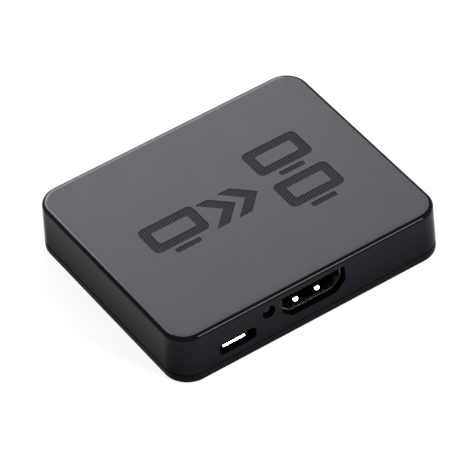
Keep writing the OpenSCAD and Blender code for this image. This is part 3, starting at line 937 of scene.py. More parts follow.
VIDEO = SocketOutline(
    width=14 * MM, height=4.55 * MM, lift=0.95 * MM, corner_w=2 * MM, corner_h=1.8 * MM, bend=0.4 * MM,
    sheet=0.35 * MM,
)
POWER = SocketOutline(
    width=6.9 * MM, height=1.85 * MM, lift=0.25 * MM, corner_w=0.75 * MM, corner_h=0.7 * MM, bend=0.25 * MM,
    sheet=0.25 * MM,
)


@dataclass(frozen=True)
class Seat:
    """Place of a socket on one of the casing's two socket sides."""

    x: float
    front: float
    level: float
    output: bool = False

    def stand(self, work: Work) -> Work:
        """Stands a shape upright at this place.

        Args:
            work: Shape whose height is along Y and whose front faces +Z.

        Returns:
            The same work.
        """
        work.turn((math.pi / 2, 0, math.pi if self.output else 0))
        return work.move((self.x, self.front, self.level))


@dataclass(frozen=True)
class Layout:
    """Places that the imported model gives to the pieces."""

    width: float
    depth: float
    seam: float
    high: float
    board_low: float
    board_top: float
    video: dict[str, Seat]
    power: Seat
    lens_back: Vector
    screws: list[Vector]

    @classmethod
    def from_frame(cls) -> "Layout":
        """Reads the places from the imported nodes.

        Returns:
            The layout.
        """
        base_low, base_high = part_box("base_plate")
        cover_low, cover_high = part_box("top_cover")
        board_low, board_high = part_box("circuit_board")
        level = board_high.z
        video = {}
        for name in ("input", "output_1", "output_2"):
            low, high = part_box(f"{name}_shell")
            output = name != "input"
            video[name] = Seat((low.x + high.x) / 2, high.y if output else low.y, level, output)
        low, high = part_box("power_shell")
        power = Seat((low.x + high.x) / 2, low.y, level)
        low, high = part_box("indicator_lens")
        lens_back = Vector(((low.x + high.x) / 2, high.y, (low.z + high.z) / 2))
        low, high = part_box("case_screws")
        head = ScrewSet.head_r
        columns = (low.x + head, high.x - head)
        rows = (low.y + head, high.y - head)
        size = base_high - base_low
        return cls(
            width=size.x,
            depth=size.y,
            seam=cover_low.z,
            high=cover_high.z,
            board_low=board_low.z,
            board_top=level,
            video=video,
            power=power,
            lens_back=lens_back,
            screws=[Vector((x, y, low.z)) for x in columns for y in rows],
        )


@dataclass
class Mark:
    """Sunken pictogram on the roof: one screen, two arrowheads and two screens."""

    roof: float
    depth: float = 0.12 * MM
    stroke: float = 2.2 * MM
    screen_w: float = 13.2 * MM
    screen_h: float = 8 * MM
    screen_r: float = 1.4 * MM
    inner_r: float = 1.4 * MM / 3
    screen_x: float = 14.6 * MM
    row_y: float = 5.7 * MM
    foot_w: float = 6 * MM
    foot_h: float = 1.3 * MM
    foot_r: float = 1.3 * MM / 3
    foot_gap: float = 0.8 * MM
    arrow_tips: Sequence[float] = (-0.2 * MM, 5.2 * MM)
    arrow_reach: float = 4.2 * MM
    arm_share: float = 1.4
    corner_steps: int = 6
    inner_stretch: float = 3
    past: float = 1 * MM

    def _raise(self, work: Work) -> Work:
        """Draws a flat outline up into a cutting shape that stands in the roof.

        Args:
            work: The outline, at the height of the origin.

        Returns:
            The cutting shape.
        """
        with work.editing(Pick.FACES):
            work.extrude((0, 0, self.depth + self.past))
        return work.face_outwards().move((0, 0, self.roof - self.depth))

    def _panel(self, size: Sequence[float], centre: Sequence[float], radius: float) -> Work:
        """Models a rounded rectangle.

        Args:
            size: Size along X and Y.
            centre: Its middle, along X and Y.
            radius: Radius of its corners.

        Returns:
            The cutting shape.
        """
        work = Work.plate("panel", *size, (*centre, 0))
        with work.editing(Pick.FACES):
            work.round_corners(radius, self.corner_steps, lambda corner: True)
        return self._raise(work)

    def _screen(self, x: float, row: float) -> list[Work]:
        """Models a screen with its foot.

        Args:
            x: Place of its middle along X.
            row: Place of its middle along Y.

        Returns:
            The cutting shapes.
        """
        shift = (self.foot_gap + self.foot_h) / 2
        size = Vector((self.screen_w, self.screen_h))
        centre = (x, row + shift)
        border = self._panel(size, centre, self.screen_r)
        inside = self._panel(size - 2 * Vector((self.stroke, self.stroke)), centre, self.inner_r)
        inside.resize((1, 1, self.inner_stretch)).move((0, 0, (1 - self.inner_stretch) * self.roof))
        border.merge(Merge.CUT, inside)
        foot = (x, row - (self.screen_h + self.foot_gap) / 2)
        return [border, self._panel((self.foot_w, self.foot_h), foot, self.foot_r)]

    def _arrow(self, tip: float) -> Work:
        """Models an arrowhead, one slanting arm drawn on into the other.

        Args:
            tip: Place of its tip along X.

        Returns:
            The cutting shape.
        """
        reach = self.arrow_reach
        arm = self.arm_share * self.stroke
        work = Work.plate("arrow", arm, reach, (tip - arm / 2, reach / 2, 0))
        with work.editing(Pick.FACES):
            work.select(Pick.CORNERS, lambda corner: corner.co.y > reach / 2)
            bpy.ops.transform.translate(value=(-reach, 0, 0))
            work.select(Pick.EDGES, lambda edge: all(abs(v.co.y) < TINY for v in edge.verts))
            bpy.ops.mesh.extrude_edges_move(TRANSFORM_OT_translate={"value": (-reach, -reach, 0)})
        return self._raise(work)

    def cutters(self) -> list[Work]:
        """Models the parts of the pictogram.

        Returns:
            The cutting shapes.
        """
        places = ((-self.screen_x, 0), (self.screen_x, -self.row_y), (self.screen_x, self.row_y))
        screens = [shape for place in places for shape in self._screen(*place)]
        return [*screens, *(self._arrow(tip) for tip in self.arrow_tips)]

    def holds(self, point: Vector) -> bool:
        """Tells whether a point lies in the pictogram's part of the roof.

        Args:
            point: The point.

        Returns:
            Whether it lies there.
        """
        wide = self.screen_x + self.screen_w / 2 + TINY
        deep = self.row_y + (self.screen_h + self.foot_gap + self.foot_h) / 2 + TINY
        return abs(point.x) < wide and abs(point.y) < deep and point.z > self.roof - 2 * self.depth


class CoverSlot(IntEnum):
    """Material slots of the cover."""

    WALL = 0
    ROOF = 1
    MARK = 2
    EDGE = 3
    CUT = 4
    RIM = 5


@dataclass
class Cover:
    """Upper moulding: roof, leaning walls, bosses and cut-outs.

    The tilts tell where the finishes of the roof's edge begin: the dark gloss of the round, partly painted
    shade, at the near sides and at the others, and the painted highlight of the border at the left and at the
    back.
    """

    layout: Layout
    corner: float = 5.5 * MM
    corner_steps: int = 20
    inner_steps: int = 12
    wall: float = 1.5 * MM
    roof: float = 1.4 * MM
    lean: float = 0.3 * MM
    edge: float = 0.8 * MM
    edge_rings: int = 10
    roll_w: float = 1.3 * MM
    roll_h: float = 0.09 * MM
    roll_rings: int = 8
    round_tilt: float = math.radians(10)
    # At the near sides the dark round begins at a smaller tilt, which widens its painted shade there
    near_tilt: float = math.radians(6.9)
    left_tilt: float = math.radians(5.9)
    back_tilt: float = math.radians(4.9)
    seam_h: float = 0.3 * MM
    seam_depth: float = 0.4 * MM
    foot_round: float = 0.1 * MM
    foot_rings: int = 3
    boss: float = 2.3 * MM
    pilot: float = 0.93 * MM
    pilot_top: float = 7.8 * MM
    pilot_sides: int = 24
    video_gap: float = 0.35 * MM
    video_cut_r: float = 0.4 * MM
    power_cut_w: float = 8.7 * MM
    power_cut_h: float = 3.01 * MM
    power_cut_r: float = 1 * MM
    power_cut_steps: int = 8
    lens_hole: float = 1.5 * MM
    cut_round: float = 0.1 * MM
    cut_steps: int = 2
    off_middle: float = 5 * TINY
    past: float = 3 * MM

    @property
    def mark(self) -> Mark:
        """The pictogram on the roof."""
        return Mark(self.layout.high)

    def _lean_at(self, height: float) -> float:
        """Inset of the wall at a height."""
        return self.lean * (height - self.layout.seam) / (self.layout.high - self.edge - self.layout.seam)

    def _edge_steps(self) -> list[Step]:
        """Works out the section of the roof's edge, a round that runs out into a shallow roll.

        Returns:
            Inset and rise of each step, from the wall to the flat roof.
        """
        count = self.roll_rings
        falls = [self.roll_h * (1 - step / count) ** 2 for step in range(count + 1)]
        roll = [(self.roll_w / count, outer - inner) for outer, inner in zip(falls, falls[1:])]
        return [*quarter_round(self.edge, self.edge_rings)[:-1], *roll, (self.edge / 2, 0)]

    def _outside(self) -> Work:
        """Models the closed outer form, with the step for the seam's shadow gap.

        Returns:
            The outer form.
        """
        shoulder = self.layout.seam + self.seam_h
        foot = shoulder + self.foot_round
        edge_steps = self._edge_steps()
        top = self.layout.high - sum(rise for _, rise in edge_steps)
        inset = self._lean_at(foot)
        size = (self.layout.width - 2 * inset, self.layout.depth - 2 * inset)
        work = Work.plate("casing_cover", *size, (0, 0, foot))
        with work.editing(Pick.FACES):
            work.round_corners(self.corner - inset, self.corner_steps, lambda corner: True)
            work.select(Pick.FACES, lambda face: True)
            work.rings([(self.lean - inset, top - foot), *edge_steps])
            work.close()
        work.face_outwards()
        with work.editing(Pick.FACES):
            work.select(Pick.FACES, lambda face: face.normal.z < -FACING)
            work.rings(quarter_round(self.foot_round, self.foot_rings))
            work.rings([(self.seam_depth - self.foot_round - inset, 0)])
            work.extrude((0, 0, -self.seam_h))
        return work.face_outwards()

    def _divide_walls(self, work: Work) -> None:
        """Divides the socket walls through each opening, so that its rim can be rounded evenly.

        Args:
            work: The outer form.
        """
        layout = self.layout
        places = [(layout.power.x, -1), (layout.lens_back.x, -1)]
        places += [(seat.x, 1 if seat.output else -1) for seat in layout.video.values()]
        with work.editing(Pick.FACES):
            for x, side in places:
                point = (x + self.off_middle, 0, 0)
                work.score(lambda face: face.normal.y * side > SQUARE, point, (1, 0, 0))

    def _hollow(self) -> Work:
        """Models the space inside the walls.

        Returns:
            The cutting shape.
        """
        layout = self.layout
        inside = layout.high - self.roof
        size = (layout.width - 2 * self.wall, layout.depth - 2 * self.wall)
        work = Work.plate("hollow", *size, (0, 0, layout.seam - self.past))
        with work.editing(Pick.FACES):
            work.round_corners(self.corner - self.wall, self.inner_steps, lambda corner: True)
            work.select(Pick.FACES, lambda face: True)
            work.rings([(0, self.past), (self._lean_at(inside), inside - layout.seam)])
            work.close()
        return work.face_outwards()

    def _bore(self, seat: Seat, work: Work) -> Work:
        """Draws an outline through the wall in front of a socket.

        Args:
            seat: The socket's place.
            work: Flat outline of the opening.

        Returns:
            The cutting shape.
        """
        with work.editing(Pick.FACES):
            work.extrude((0, 0, 2 * self.past))
        return seat.stand(work.face_outwards().move((0, 0, -self.past)))

    def _cutters(self) -> list[Work]:
        """Models the shapes that open the walls.

        Returns:
            The cutting shapes.
        """
        layout = self.layout
        grow = VIDEO.sheet + self.video_gap
        cutters = []
        for seat in layout.video.values():
            cutters.append(self._bore(seat, VIDEO.plate("video_cut", grow, self.video_cut_r)))
        middle = (0, POWER.lift + POWER.height / 2, 0)
        work = Work.plate("power_cut", self.power_cut_w, self.power_cut_h, middle)
        with work.editing(Pick.FACES):
            work.round_corners(self.power_cut_r, self.power_cut_steps, lambda corner: True)
        cutters.append(self._bore(layout.power, work))
        work = Work.rod("lens_cut", self.lens_hole, (0, 0, 0), 2 * self.past)
        place = (layout.lens_back.x, self.past - layout.depth / 2, layout.lens_back.z)
        return [*cutters, work.turn((math.pi / 2, 0, 0)).move(place)]

    def _ease_cutouts(self, work: Work) -> None:
        """Rounds the outer edges of the openings a little.

        Args:
            work: The moulding with its openings.
        """
        outside = self.layout.depth / 2 - self.lean - TINY
        foot = self.layout.seam + self.seam_h + self.foot_round + TINY
        top = self.layout.high - self.edge - TINY

        def at_opening(edge: bmesh.types.BMEdge) -> bool:
            """Tells whether an edge lies between the wall's face and an opening.

            Args:
                edge: The edge.

            Returns:
                Whether it lies there.
            """
            if not all(abs(v.co.y) > outside and foot < v.co.z < top for v in edge.verts):
                return False
            slants = sorted(abs(face.normal.y) for face in edge.link_faces)
            return slants[0] < ACROSS and slants[-1] > FACING

        with work.editing(Pick.EDGES):
            work.select(Pick.EDGES, at_opening)
            bpy.ops.mesh.bevel(offset=self.cut_round, segments=self.cut_steps, affect="EDGES")

    def build(self) -> Work:
        """Models the moulding.

        Returns:
            The finished shape.
        """
        layout = self.layout
        work = self._outside()
        self._divide_walls(work)
        work.merge(Merge.CUT, self._hollow())
        top = layout.high - self.roof / 2
        for place in layout.screws:
            low = (place.x, place.y, layout.board_top)
            work.merge(Merge.ADD, Work.rod("boss", self.boss, low, top - layout.board_top))
        for place in layout.screws:
            low = (place.x, place.y, layout.seam)
            length = self.pilot_top - layout.seam
            work.merge(Merge.CUT, Work.rod("pilot", self.pilot, low, length, self.pilot_sides))
        work.merge(Merge.CUT, *self._cutters())
        self._ease_cutouts(work)
        return work.merge(Merge.CUT, *self.mark.cutters()).soften()

    def _edge_slot(self, normal: Vector) -> CoverSlot:
        """Finds the slot of a face in the roof's round and rolled edge.

        Args:
            normal: The face's normal.

        Returns:
            The dark glossy round, the border at the back and left with its painted highlight, or the roof.
        """
        tilt = math.acos(min(normal.z, 1))
        near = normal.x > LEANING or normal.y < -LEANING
        if tilt > (self.near_tilt if near else self.round_tilt):
            return CoverSlot.EDGE
        # The border at the back and left gets the painted highlight of RIM
        painted_rim = tilt > (self.back_tilt if normal.y > LEANING else self.left_tilt)
        return CoverSlot.RIM if painted_rim and not near else CoverSlot.ROOF

    def dress(self, work: Work) -> None:
        """Gives the roof, the walls and the pictogram their finishes.

        Args:
            work: The finished shape.
        """
        roof = self.layout.high
        inside = self.layout.depth / 2 - self.wall - self.lean
        straight = self.layout.width / 2 - self.corner
        foot = self.layout.seam + self.seam_h + self.foot_round

        def choose(face: bpy.types.MeshPolygon) -> CoverSlot:
            """Finds the slot of a face.

            Args:
                face: The face.

            Returns:
                Its slot.
            """
            normal, centre = face.normal, face.center
            if normal.z > SQUARE and centre.z > roof - TINY:
                return CoverSlot.ROOF
            if self.mark.holds(centre):
                return CoverSlot.MARK
            if centre.z > roof - self.edge - self.roll_h and normal.z > LEANING:
                return self._edge_slot(normal)
            # Faces across the wall round the openings get the painted shade of CUT
            in_wall = abs(centre.x) < straight and abs(centre.y) > inside
            if in_wall and abs(normal.y) < ACROSS and foot < centre.z < roof - self.edge:
                return CoverSlot.CUT
            return CoverSlot.WALL

        finishes: dict[CoverSlot, Finish] = {
            CoverSlot.WALL: WALL,
            CoverSlot.ROOF: ROOF,
            CoverSlot.MARK: MARK,
            CoverSlot.EDGE: EDGE,
            CoverSlot.CUT: CUT,
            CoverSlot.RIM: RIM,
        }
        work.paint([finishes[slot].material() for slot in CoverSlot], choose)
        work.fit("cover_plastic", "top_cover")


@dataclass
class BasePlate:
    """Lower moulding: floor, edge, locating rim, standoffs and screw holes."""

    layout: Layout
    corner: float = 5.5 * MM
    corner_steps: int = 20
    edge_r: float = 0.5 * MM
    edge_rings: int = 8
    chamfer: float = 0.05 * MM
    floor: float = 1.4 * MM
    rim_inset: float = 1.664 * MM
    rim_t: float = 0.9 * MM
    rim_h: float = 1.4 * MM
    standoff: float = 2.3 * MM
    hole: float = 1.1 * MM
    hole_sides: int = 32
    counterbore: float = 2 * MM
    seat: float = 1.3 * MM
    past: float = 1 * MM

    def build(self) -> Work:
        """Models the moulding.

        Returns:
            The finished shape.
        """
        layout = self.layout
        rim_top = layout.seam + self.rim_h
        work = Work.plate("casing_base", layout.width, layout.depth, (0, 0, self.edge_r))
        with work.editing(Pick.FACES):
            work.round_corners(self.corner, self.corner_steps, lambda corner: True)
            work.select(Pick.FACES, lambda face: True)
            work.rings([(0, layout.seam - self.chamfer - self.edge_r), (self.chamfer, self.chamfer)])
            work.rings([(self.rim_inset - self.chamfer, 0), (0, self.rim_h), (self.rim_t, 0)])
            work.rings([(0, self.floor - rim_top)])
            work.close()
        work.face_outwards()
        with work.editing(Pick.FACES):
            work.select(Pick.FACES, lambda face: face.normal.z < -FACING)
            work.rings([*quarter_round(self.edge_r, self.edge_rings), (self.edge_r, 0)])
        for place in layout.screws:
            low = (place.x, place.y, self.floor / 2)
            work.merge(Merge.ADD, Work.rod("standoff", self.standoff, low, layout.board_low - self.floor / 2))
        for place in layout.screws:
            low = (place.x, place.y, -self.past)
            length = layout.board_low + 2 * self.past
            work.merge(Merge.CUT, Work.rod("hole", self.hole, low, length, self.hole_sides))
            work.merge(Merge.CUT, Work.rod("counterbore", self.counterbore, low, self.seat + self.past))
        return work.soften()

    def dress(self, work: Work) -> None:
        """Gives the moulding its finish.

        Args:
            work: The finished shape.
        """
        work.paint([BASE.material()], lambda face: 0)
        work.fit("base_plastic", "base_plate")


@dataclass
class ScrewSet:
    """Four small screws that hold the casing together from below."""

    layout: Layout
    head_r: float = 1.75 * MM
    head_h: float = 1 * MM
    head_round: float = 0.35 * MM
    head_rings: int = 6
    shank_r: float = 0.9 * MM
    shank_len: float = 6 * MM
    tip: float = 0.5 * MM
    tip_taper: float = 0.7
    recess_len: float = 2.2 * MM
    recess_w: float = 0.4 * MM
    recess_depth: float = 0.6 * MM
    recess_taper: float = 0.6

    def _slot(self, angle: float) -> Work:
        """Models one wing of the cross recess.

        Args:
            angle: Direction of the wing.

        Returns:
            The cutting shape.
        """
        work = Work.block("slot", (self.recess_len, self.recess_w, 2 * self.recess_depth), (0, 0, 0))
        with work.editing(Pick.FACES):
            work.select(Pick.FACES, lambda face: face.normal.z > FACING)
            bpy.ops.transform.resize(value=(self.recess_taper, self.recess_taper, 1))
        return work.turn((0, 0, angle))

    def build(self) -> list[Work]:
        """Models one screw and its copies.

        Returns:
            The screws in their places.
        """

        def is_head(face: bmesh.types.BMFace) -> bool:
            """Tells whether a face is the outer face of the head."""
            return face.normal.z < -FACING and face.calc_center_median().z < self.head_h / 2

        work = Work.disc("case_screw", self.head_r, (0, 0, self.head_round))
        with work.editing(Pick.FACES):
            work.rings([(0, self.head_h - self.head_round), (self.head_r - self.shank_r, 0)])
            work.rings([(0, self.shank_len - self.tip), (self.tip * self.tip_taper, self.tip)])
            work.close()
        work.face_outwards()
        with work.editing(Pick.FACES):
            work.select(Pick.FACES, is_head)
            work.rings(quarter_round(self.head_round, self.head_rings))
        work.merge(Merge.CUT, self._slot(0), self._slot(math.pi / 2)).soften()
        screws = [work.copy(f"case_screw_{i + 1}").move(place) for i, place in enumerate(self.layout.screws)]
        bpy.data.meshes.remove(work.body.data)
        return screws

    def dress(self, screws: Sequence[Work]) -> None:
        """Gives the screws their finish.

        Args:
            screws: The finished shapes.
        """
        material = FINISHES["screw_steel"].material()
        for work in screws:
            work.paint([material], lambda face: 0)
            work.fit("screw_steel", "case_screws")


# Sockets and indicator


@dataclass
class SheetShell:
    """Sheet metal shell of a socket, folded from its outline."""

    outline: SocketOutline
    depth: float
    tab_w: float
    tab_front: float
    tab_span: float
    tail: float
    mouth_round: float = 0.022 * MM
    mouth_steps: int = 3

    def tube(self, name: str) -> Work:
        """Draws the outline back into an open tube without thickness.

        Args:
            name: Name of the shell.

        Returns:
            The tube, with its front edge at the height of the origin.
        """
        work = self.outline.plate(name, 0, self.outline.bend)
        with work.editing(Pick.FACES):
            work.extrude((0, 0, -self.depth))
        work.face_outwards()
        with work.editing(Pick.FACES):
            work.select(Pick.FACES, lambda face: abs(face.normal.z) > FACING)
            bpy.ops.mesh.delete(type="ONLY_FACE")
        return work

    def _ease_mouth(self, work: Work) -> None:
        """Rounds the inner edge of the shell's mouth.

        Args:
            work: The shell.
        """
        middle = Vector((0, self.outline.lift + self.outline.height / 2, 0))

        def at_mouth(edge: bmesh.types.BMEdge) -> bool:
            """Tells whether an edge lies between the mouth's rim and the inside.

            Args:
                edge: The edge.

            Returns:
                Whether it lies there.
            """
            if any(abs(v.co.z) > TINY for v in edge.verts):
                return False
            faces = edge.link_faces
            level = [face for face in faces if face.normal.z > FACING]
            inner = [face for face in faces if face.normal.dot(middle - face.calc_center_median()) > 0]
            return bool(level) and any(face not in level for face in inner)

        with work.editing(Pick.EDGES):
            work.select(Pick.EDGES, at_mouth)
            bpy.ops.mesh.bevel(offset=self.mouth_round, segments=self.mouth_steps, affect="EDGES")

    def thicken(self, work: Work) -> Work:
        """Gives the folded sheet its thickness and its solder tabs.

        Args:
            work: The folded tube.

        Returns:
            The same work.
        """
        outline = self.outline
        work.modify("SOLIDIFY", thickness=outline.sheet, offset=1, use_even_offset=True)
        self._ease_mouth(work)
        top = outline.lift + outline.corner_h + outline.bend
        size = (outline.sheet - 2 * TINY, top + self.tail, self.tab_w)
        for x in (-1, 1):
            for row in (0, 1):
                centre = (
                    x * (outline.width + outline.sheet) / 2,
                    (top - self.tail) / 2,
                    -self.tab_front - row * self.tab_span,
                )
                work.merge(Merge.ADD, Work.block("tab", size, centre))
        return work.soften()


@dataclass
class VideoSockets:
    """Shells of the three video sockets, with spring fingers in floor and ceiling."""

    layout: Layout
    shell: SheetShell
    finger_x: float = 2.6 * MM
    finger_w: float = 1.1 * MM
    finger_slot: float = 0.3 * MM
    tip_round: float = 0.4 * MM
    tip_steps: int = 5
    finger_bends: Sequence[Step] = (
        (1.4 * MM, -0.22 * MM),
        (1.65 * MM, 0.05 * MM),
        (1.86 * MM, 0.27 * MM),
        (2.0 * MM, 0.39 * MM),
        (2.15 * MM, 0.44 * MM),
        (2.4 * MM, 0.44 * MM),
        (3.0 * MM, 0.38 * MM),
        (6.0 * MM, 0.0),
    )

    def _rise(self, behind: float) -> float:
        """Height of a finger above its floor.

        Args:
            behind: Distance behind the shell's front edge.

        Returns:
            The height.
        """
        for (near, low), (far, high) in zip(self.finger_bends, self.finger_bends[1:]):
            if behind <= far:
                return low + (high - low) * max(behind - near, 0) / (far - near)
        return 0.0

    def _cut_fingers(self, work: Work, up: int) -> None:
        """Cuts the fingers free in the floor or the ceiling and bends them inwards.

        Args:
            work: The tube.
            up: 1 for the ceiling and -1 for the floor.
        """
        tip, root = self.finger_bends[0][0], self.finger_bends[-1][0]
        half = self.finger_w / 2
        level = self.shell.outline.ceiling if up > 0 else self.shell.outline.lift

        def beside(x: float) -> float:
            """Distance from the nearer finger's middle."""
            return abs(abs(x) - self.finger_x)

        def is_level(face: bmesh.types.BMFace) -> bool:
            """Tells whether a face belongs to the floor or ceiling at hand."""
            return face.normal.y * up > FACING

        def in_slot(face: bmesh.types.BMFace) -> bool:
            """Tells whether a face lies in the slot round a finger.

            Args:
                face: The face.

            Returns:
                Whether it lies there.
            """
            centre = face.calc_center_median()
            if not is_level(face) or beside(centre.x) > half + self.finger_slot:
                return False
            return tip - self.finger_slot < -centre.z < (root if beside(centre.x) > half else tip)

        def in_finger(face: bmesh.types.BMFace) -> bool:
            """Tells whether a face lies in a finger."""
            centre = face.calc_center_median()
            return is_level(face) and beside(centre.x) < half and tip < -centre.z < root

        def at_finger(corner: bmesh.types.BMVert) -> bool:
            """Tells whether a corner lies in a finger that isn't bent yet."""
            near = beside(corner.co.x) < half + TINY and tip - TINY < -corner.co.z < root - TINY
            return near and abs(corner.co.y - level) < TINY

        def at_tip(corner: bmesh.types.BMVert) -> bool:
            """Tells whether a corner lies at the tip of a finger."""
            return at_finger(corner) and abs(corner.co.z + tip) < TINY

        with work.editing(Pick.FACES):
            for side in (-1, 1):
                for edge in (-half - self.finger_slot, -half, half, half + self.finger_slot):
                    work.score(is_level, (side * self.finger_x + edge, 0, 0), (1, 0, 0))
            for behind in (tip - self.finger_slot, tip, root):
                work.score(is_level, (0, 0, -behind), (0, 0, 1))
            work.select(Pick.FACES, in_slot)
            bpy.ops.mesh.delete(type="FACE")
            work.round_corners(self.tip_round, self.tip_steps, at_tip)
            for behind, _ in self.finger_bends[1:-1]:
                work.score(in_finger, (0, 0, -behind), (0, 0, 1))
            corners = bmesh.from_edit_mesh(work.body.data).verts
            rows = sorted({round(-corner.co.z / TINY) for corner in corners if at_finger(corner)})
            for row in rows:
                work.select(Pick.CORNERS, lambda v: at_finger(v) and round(-v.co.z / TINY) == row)
                bpy.ops.transform.translate(value=(0, -up * self._rise(row * TINY), 0))

    def build(self) -> dict[str, Work]:
        """Models one shell and its copies.

        Returns:
            The shells in their places, by socket.
        """
        work = self.shell.tube("video_shell")
        self._cut_fingers(work, -1)
        self._cut_fingers(work, 1)
        self.shell.thicken(work)
        shells = {name: seat.stand(work.copy(f"{name}_socket")) for name, seat in self.layout.video.items()}
        bpy.data.meshes.remove(work.body.data)
        return shells

    def dress(self, shells: dict[str, Work]) -> None:
        """Gives the shells their plating.

        Args:
            shells: The finished shapes, by socket.
        """
        materials = [FINISHES["socket_metal"].material(), SHEAR_AND_SHADE.material()]
        for name, work in shells.items():
            front = self.layout.video[name].front
            # The sheet's front faces get the darker metal of the sheared edge, partly painted shade
            work.paint(materials, lambda face: int(abs(face.center.y - front) < TINY))
            work.fit("socket_metal", f"{name}_shell")


@dataclass
class PowerSocket:
    """Shell of the power socket, with flared lips at its mouth."""

    layout: Layout
    shell: SheetShell
    lip_len: float = 0.25 * MM
    lip_flare: float = 0.25 * MM
    lip_w: float = 5.6 * MM

    def build(self) -> Work:
        """Models the shell.

        Returns:
            The finished shape.
        """
        outline = self.shell.outline
        work = self.shell.tube("power_socket")
        half = self.lip_w / 2
        with work.editing(Pick.FACES):
            for x in (-half, half):
                work.score(lambda face: face.normal.y > FACING, (x, 0, 0), (1, 0, 0))
            for level, up in ((outline.lift, -1), (outline.ceiling, 1)):
                work.select(
                    Pick.EDGES,
                    lambda edge: all(
                        abs(v.co.z) < TINY and abs(v.co.y - level) < TINY and abs(v.co.x) < half + TINY
                        for v in edge.verts
                    ),
                )
                by = (0, up * self.lip_flare, self.lip_len)
                bpy.ops.mesh.extrude_edges_move(TRANSFORM_OT_translate={"value": by})
        self.shell.thicken(work)
        seat = self.layout.power
        return Seat(seat.x, seat.front + self.lip_len, seat.level).stand(work)

    def dress(self, work: Work) -> None:
        """Gives the shell its plating.

        Args:
            work: The finished shape.
        """
        work.paint([FINISHES["socket_metal"].material()], lambda face: 0)
        work.fit("socket_metal", "power_shell")


@dataclass
class Indicator:
    """Lens of the indicator behind its hole in the wall."""

    layout: Layout
    radius: float = 1.5 * MM
    length: float = 4.6 * MM
    dome_rings: int = 14
    rim_r: float = 1.75 * MM
    rim_t: float = 0.9 * MM

    def build(self) -> Work:
        """Models the lens, a round body with a domed tip.

        Returns:
            The finished shape.
        """
        work = Work.disc("indicator_dome", self.rim_r, (0, 0, 0))
        straight = self.length - self.radius - self.rim_t
        with work.editing(Pick.FACES):
            work.rings([(0, self.rim_t), (self.rim_r - self.radius, 0), (0, straight)])
            work.rings(quarter_round(self.radius, self.dome_rings)[:-1])
            work.close()
        work.face_outwards().soften()
        return work.turn((math.pi / 2, 0, 0)).move(self.layout.lens_back)

    def dress(self, work: Work) -> None:
        """Gives the lens its finish.

        Args:
            work: The finished shape.
        """
        work.paint([FINISHES["lens_resin"].material()], lambda face: 0)
        work.fit("lens_resin", "indicator_lens")


@dataclass
class InnerPieces:
    """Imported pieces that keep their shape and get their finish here."""

    record: dict[str, Any]
    nodes: dict[str, bpy.types.Object]

    def dress(self) -> None:
        """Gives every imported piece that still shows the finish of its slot."""
        made: dict[str, bpy.types.Material] = {}
        for part in self.record["subparts"]:
            node = self.nodes[part["node"]]
            slot = part["material_slot"]
            if node.hide_render:
                continue
            if slot not in made:
                made[slot] = FINISHES[slot].material()
            node.data.materials.clear()
            node.data.materials.append(made[slot])
            LOG.info("%s: packed shape, %s", node.name, slot)


# Studio


@dataclass(frozen=True)
class Softbox:
    """A rectangular studio lamp that is turned towards the object."""

    name: str
    direction: tuple[float, float, float]
    distance: float
    width: float
    height: float
    radiance: float

    def place(self, aim: Vector) -> None:
        """Hangs the lamp.

        Args:
            aim: Point that the lamp is turned to.
        """
        data = bpy.data.lights.new(self.name, "AREA")
        data.shape = "RECTANGLE"
        data.size, data.size_y = self.width, self.height
        data.energy = self.radiance * math.pi * self.width * self.height
        lamp = bpy.data.objects.new(self.name, data)
        bpy.context.scene.collection.objects.link(lamp)
        way = Vector(self.direction).normalized()
        lamp.location = aim + way * self.distance
        lamp.rotation_euler = way.to_track_quat("Z", "Y").to_euler()


@dataclass(frozen=True)
class Viewpoint:
    """Place and lens of the camera, worked out from the photographed outline."""

    azimuth: float = -31.092
    elevation: float = 44.174
    roll: float = 4.589
    distance: float = 784.016 * MM
    shift_right: float = 0.796 * MM
    shift_down: float = 1.82 * MM
    lens: float = 292.757
    sensor: float = 36.0

    def place(self) -> None:
        """Sets the camera up and makes it the scene's own."""
        side, high, roll = (math.radians(v) for v in (self.azimuth, self.elevation, self.roll))
        flat = math.cos(high)
        back = Vector((math.sin(side) * flat, -math.cos(side) * flat, math.sin(high)))
        level = (-back).cross(Vector((0, 0, 1))).normalized()
        rise = back.cross(level)
        right = level * math.cos(roll) - rise * math.sin(roll)
        up = rise * math.cos(roll) + level * math.sin(roll)
        place = back * self.distance - right * self.shift_right + up * self.shift_down
        data = bpy.data.cameras.new("camera")
        data.sensor_width, data.lens = self.sensor, self.lens
        camera = bpy.data.objects.new("camera", data)
        bpy.context.scene.collection.objects.link(camera)
        turn = Matrix((right, up, back)).transposed().to_4x4()
        camera.matrix_world = Matrix.Translation(place) @ turn
        bpy.context.scene.camera = camera


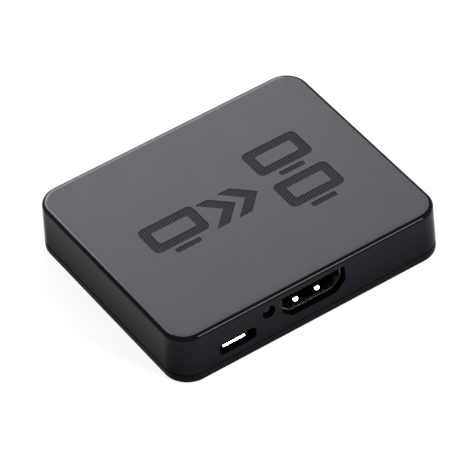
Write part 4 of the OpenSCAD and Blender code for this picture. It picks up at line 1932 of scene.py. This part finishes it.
@dataclass
class Studio:
    """White surroundings, soft lamps and the camera."""

    floor_size: float = 6.0
    ambient: float = 0.20
    bounce: float = 0.7
    shadow: float = 0.25
    glow: float = 0.87
    lamps: Sequence[Softbox] = (
        Softbox("front_box", (0.37, -0.82, 0.43), distance=0.9, width=0.20, height=0.44, radiance=27.0),
        Softbox("back_box", (0.11, 0.77, 0.62), distance=0.22, width=0.26, height=0.10, radiance=4.1),
    )

    def _seen(self, graph: Graph) -> Value:
        """Adds nodes that tell rays that show the background from those that light the object.

        Args:
            graph: Node tree of the floor or the world.

        Returns:
            One for camera, mirror and glass rays, and otherwise zero.
        """
        path = graph.node("ShaderNodeLightPath")
        kinds = ("Camera", "Glossy", "Transmission")
        camera, mirror, glass = (Value(graph, path.outputs[f"Is {kind} Ray"]) for kind in kinds)
        return camera.most(mirror).most(glass)

    def _world(self) -> None:
        """Makes the world white where it is seen, and a soft grey light where it isn't."""
        world = bpy.data.worlds.new("studio")
        world.use_nodes = True
        world.node_tree.nodes.clear()
        graph = Graph(world.node_tree)
        hidden, shown = (
            graph.result("ShaderNodeBackground", {}, {"Color": WHITE, "Strength": strength})
            for strength in (self.ambient, 1.0)
        )
        light = graph.result("ShaderNodeMixShader", {}, {0: self._seen(graph), 1: hidden, 2: shown})
        graph.node("ShaderNodeOutputWorld", {}, {"Surface": light})
        bpy.context.scene.world = world

    def _floor(self) -> None:
        """Lays a white floor that keeps the object's shadow and can be looked through from below."""
        bpy.ops.object.select_all(action="DESELECT")
        bpy.ops.mesh.primitive_plane_add(size=self.floor_size, location=(0, 0, 0))
        floor = bpy.context.active_object
        floor.name = "studio_floor"
        material = bpy.data.materials.new("floor_white")
        material.use_nodes = True
        material.node_tree.nodes.clear()
        graph = Graph(material.node_tree)
        plain, shaded = (
            graph.result("ShaderNodeBsdfDiffuse", {}, {"Color": (tone, tone, tone, 1)})
            for tone in (self.bounce, self.shadow)
        )
        glow = graph.result("ShaderNodeEmission", {}, {"Strength": self.glow})
        white = graph.result("ShaderNodeAddShader", {}, {0: shaded, 1: glow})
        above = graph.result("ShaderNodeMixShader", {}, {0: self._seen(graph), 1: plain, 2: white})
        below = Value(graph, graph.node("ShaderNodeNewGeometry").outputs["Backfacing"])
        clear = graph.result("ShaderNodeBsdfTransparent")
        surface = graph.result("ShaderNodeMixShader", {}, {0: below, 1: above, 2: clear})
        graph.node("ShaderNodeOutputMaterial", {}, {"Surface": surface})
        floor.data.materials.append(material)

    def build(self, aim: Vector) -> None:
        """Sets up the surroundings.

        Args:
            aim: Point that the lamps are turned to.
        """
        bpy.context.scene.view_settings.view_transform = "Standard"
        self._world()
        self._floor()
        for lamp in self.lamps:
            lamp.place(aim)
        Viewpoint().place()


def main() -> None:
    """Builds the pieces in order, dresses them and sets up the studio."""
    logging.basicConfig(level=logging.INFO, format="%(message)s")
    layout = Layout.from_frame()
    video = SheetShell(
        VIDEO, depth=10.5 * MM, tab_w=1.6 * MM, tab_front=3.4 * MM, tab_span=5 * MM, tail=2.2 * MM
    )
    power = SheetShell(
        POWER, depth=5 * MM, tab_w=1 * MM, tab_front=1.3 * MM, tab_span=2.6 * MM, tail=2.2 * MM
    )
    for maker in (
        Cover(layout),
        BasePlate(layout),
        ScrewSet(layout),
        VideoSockets(layout, video),
        PowerSocket(layout, power),
        Indicator(layout),
    ):
        maker.dress(maker.build())
    InnerPieces(frame["record"], frame["nodes"]).dress()
    Studio().build(Vector((0, 0, layout.high / 2)))


if __name__ == "__main__":
    main()
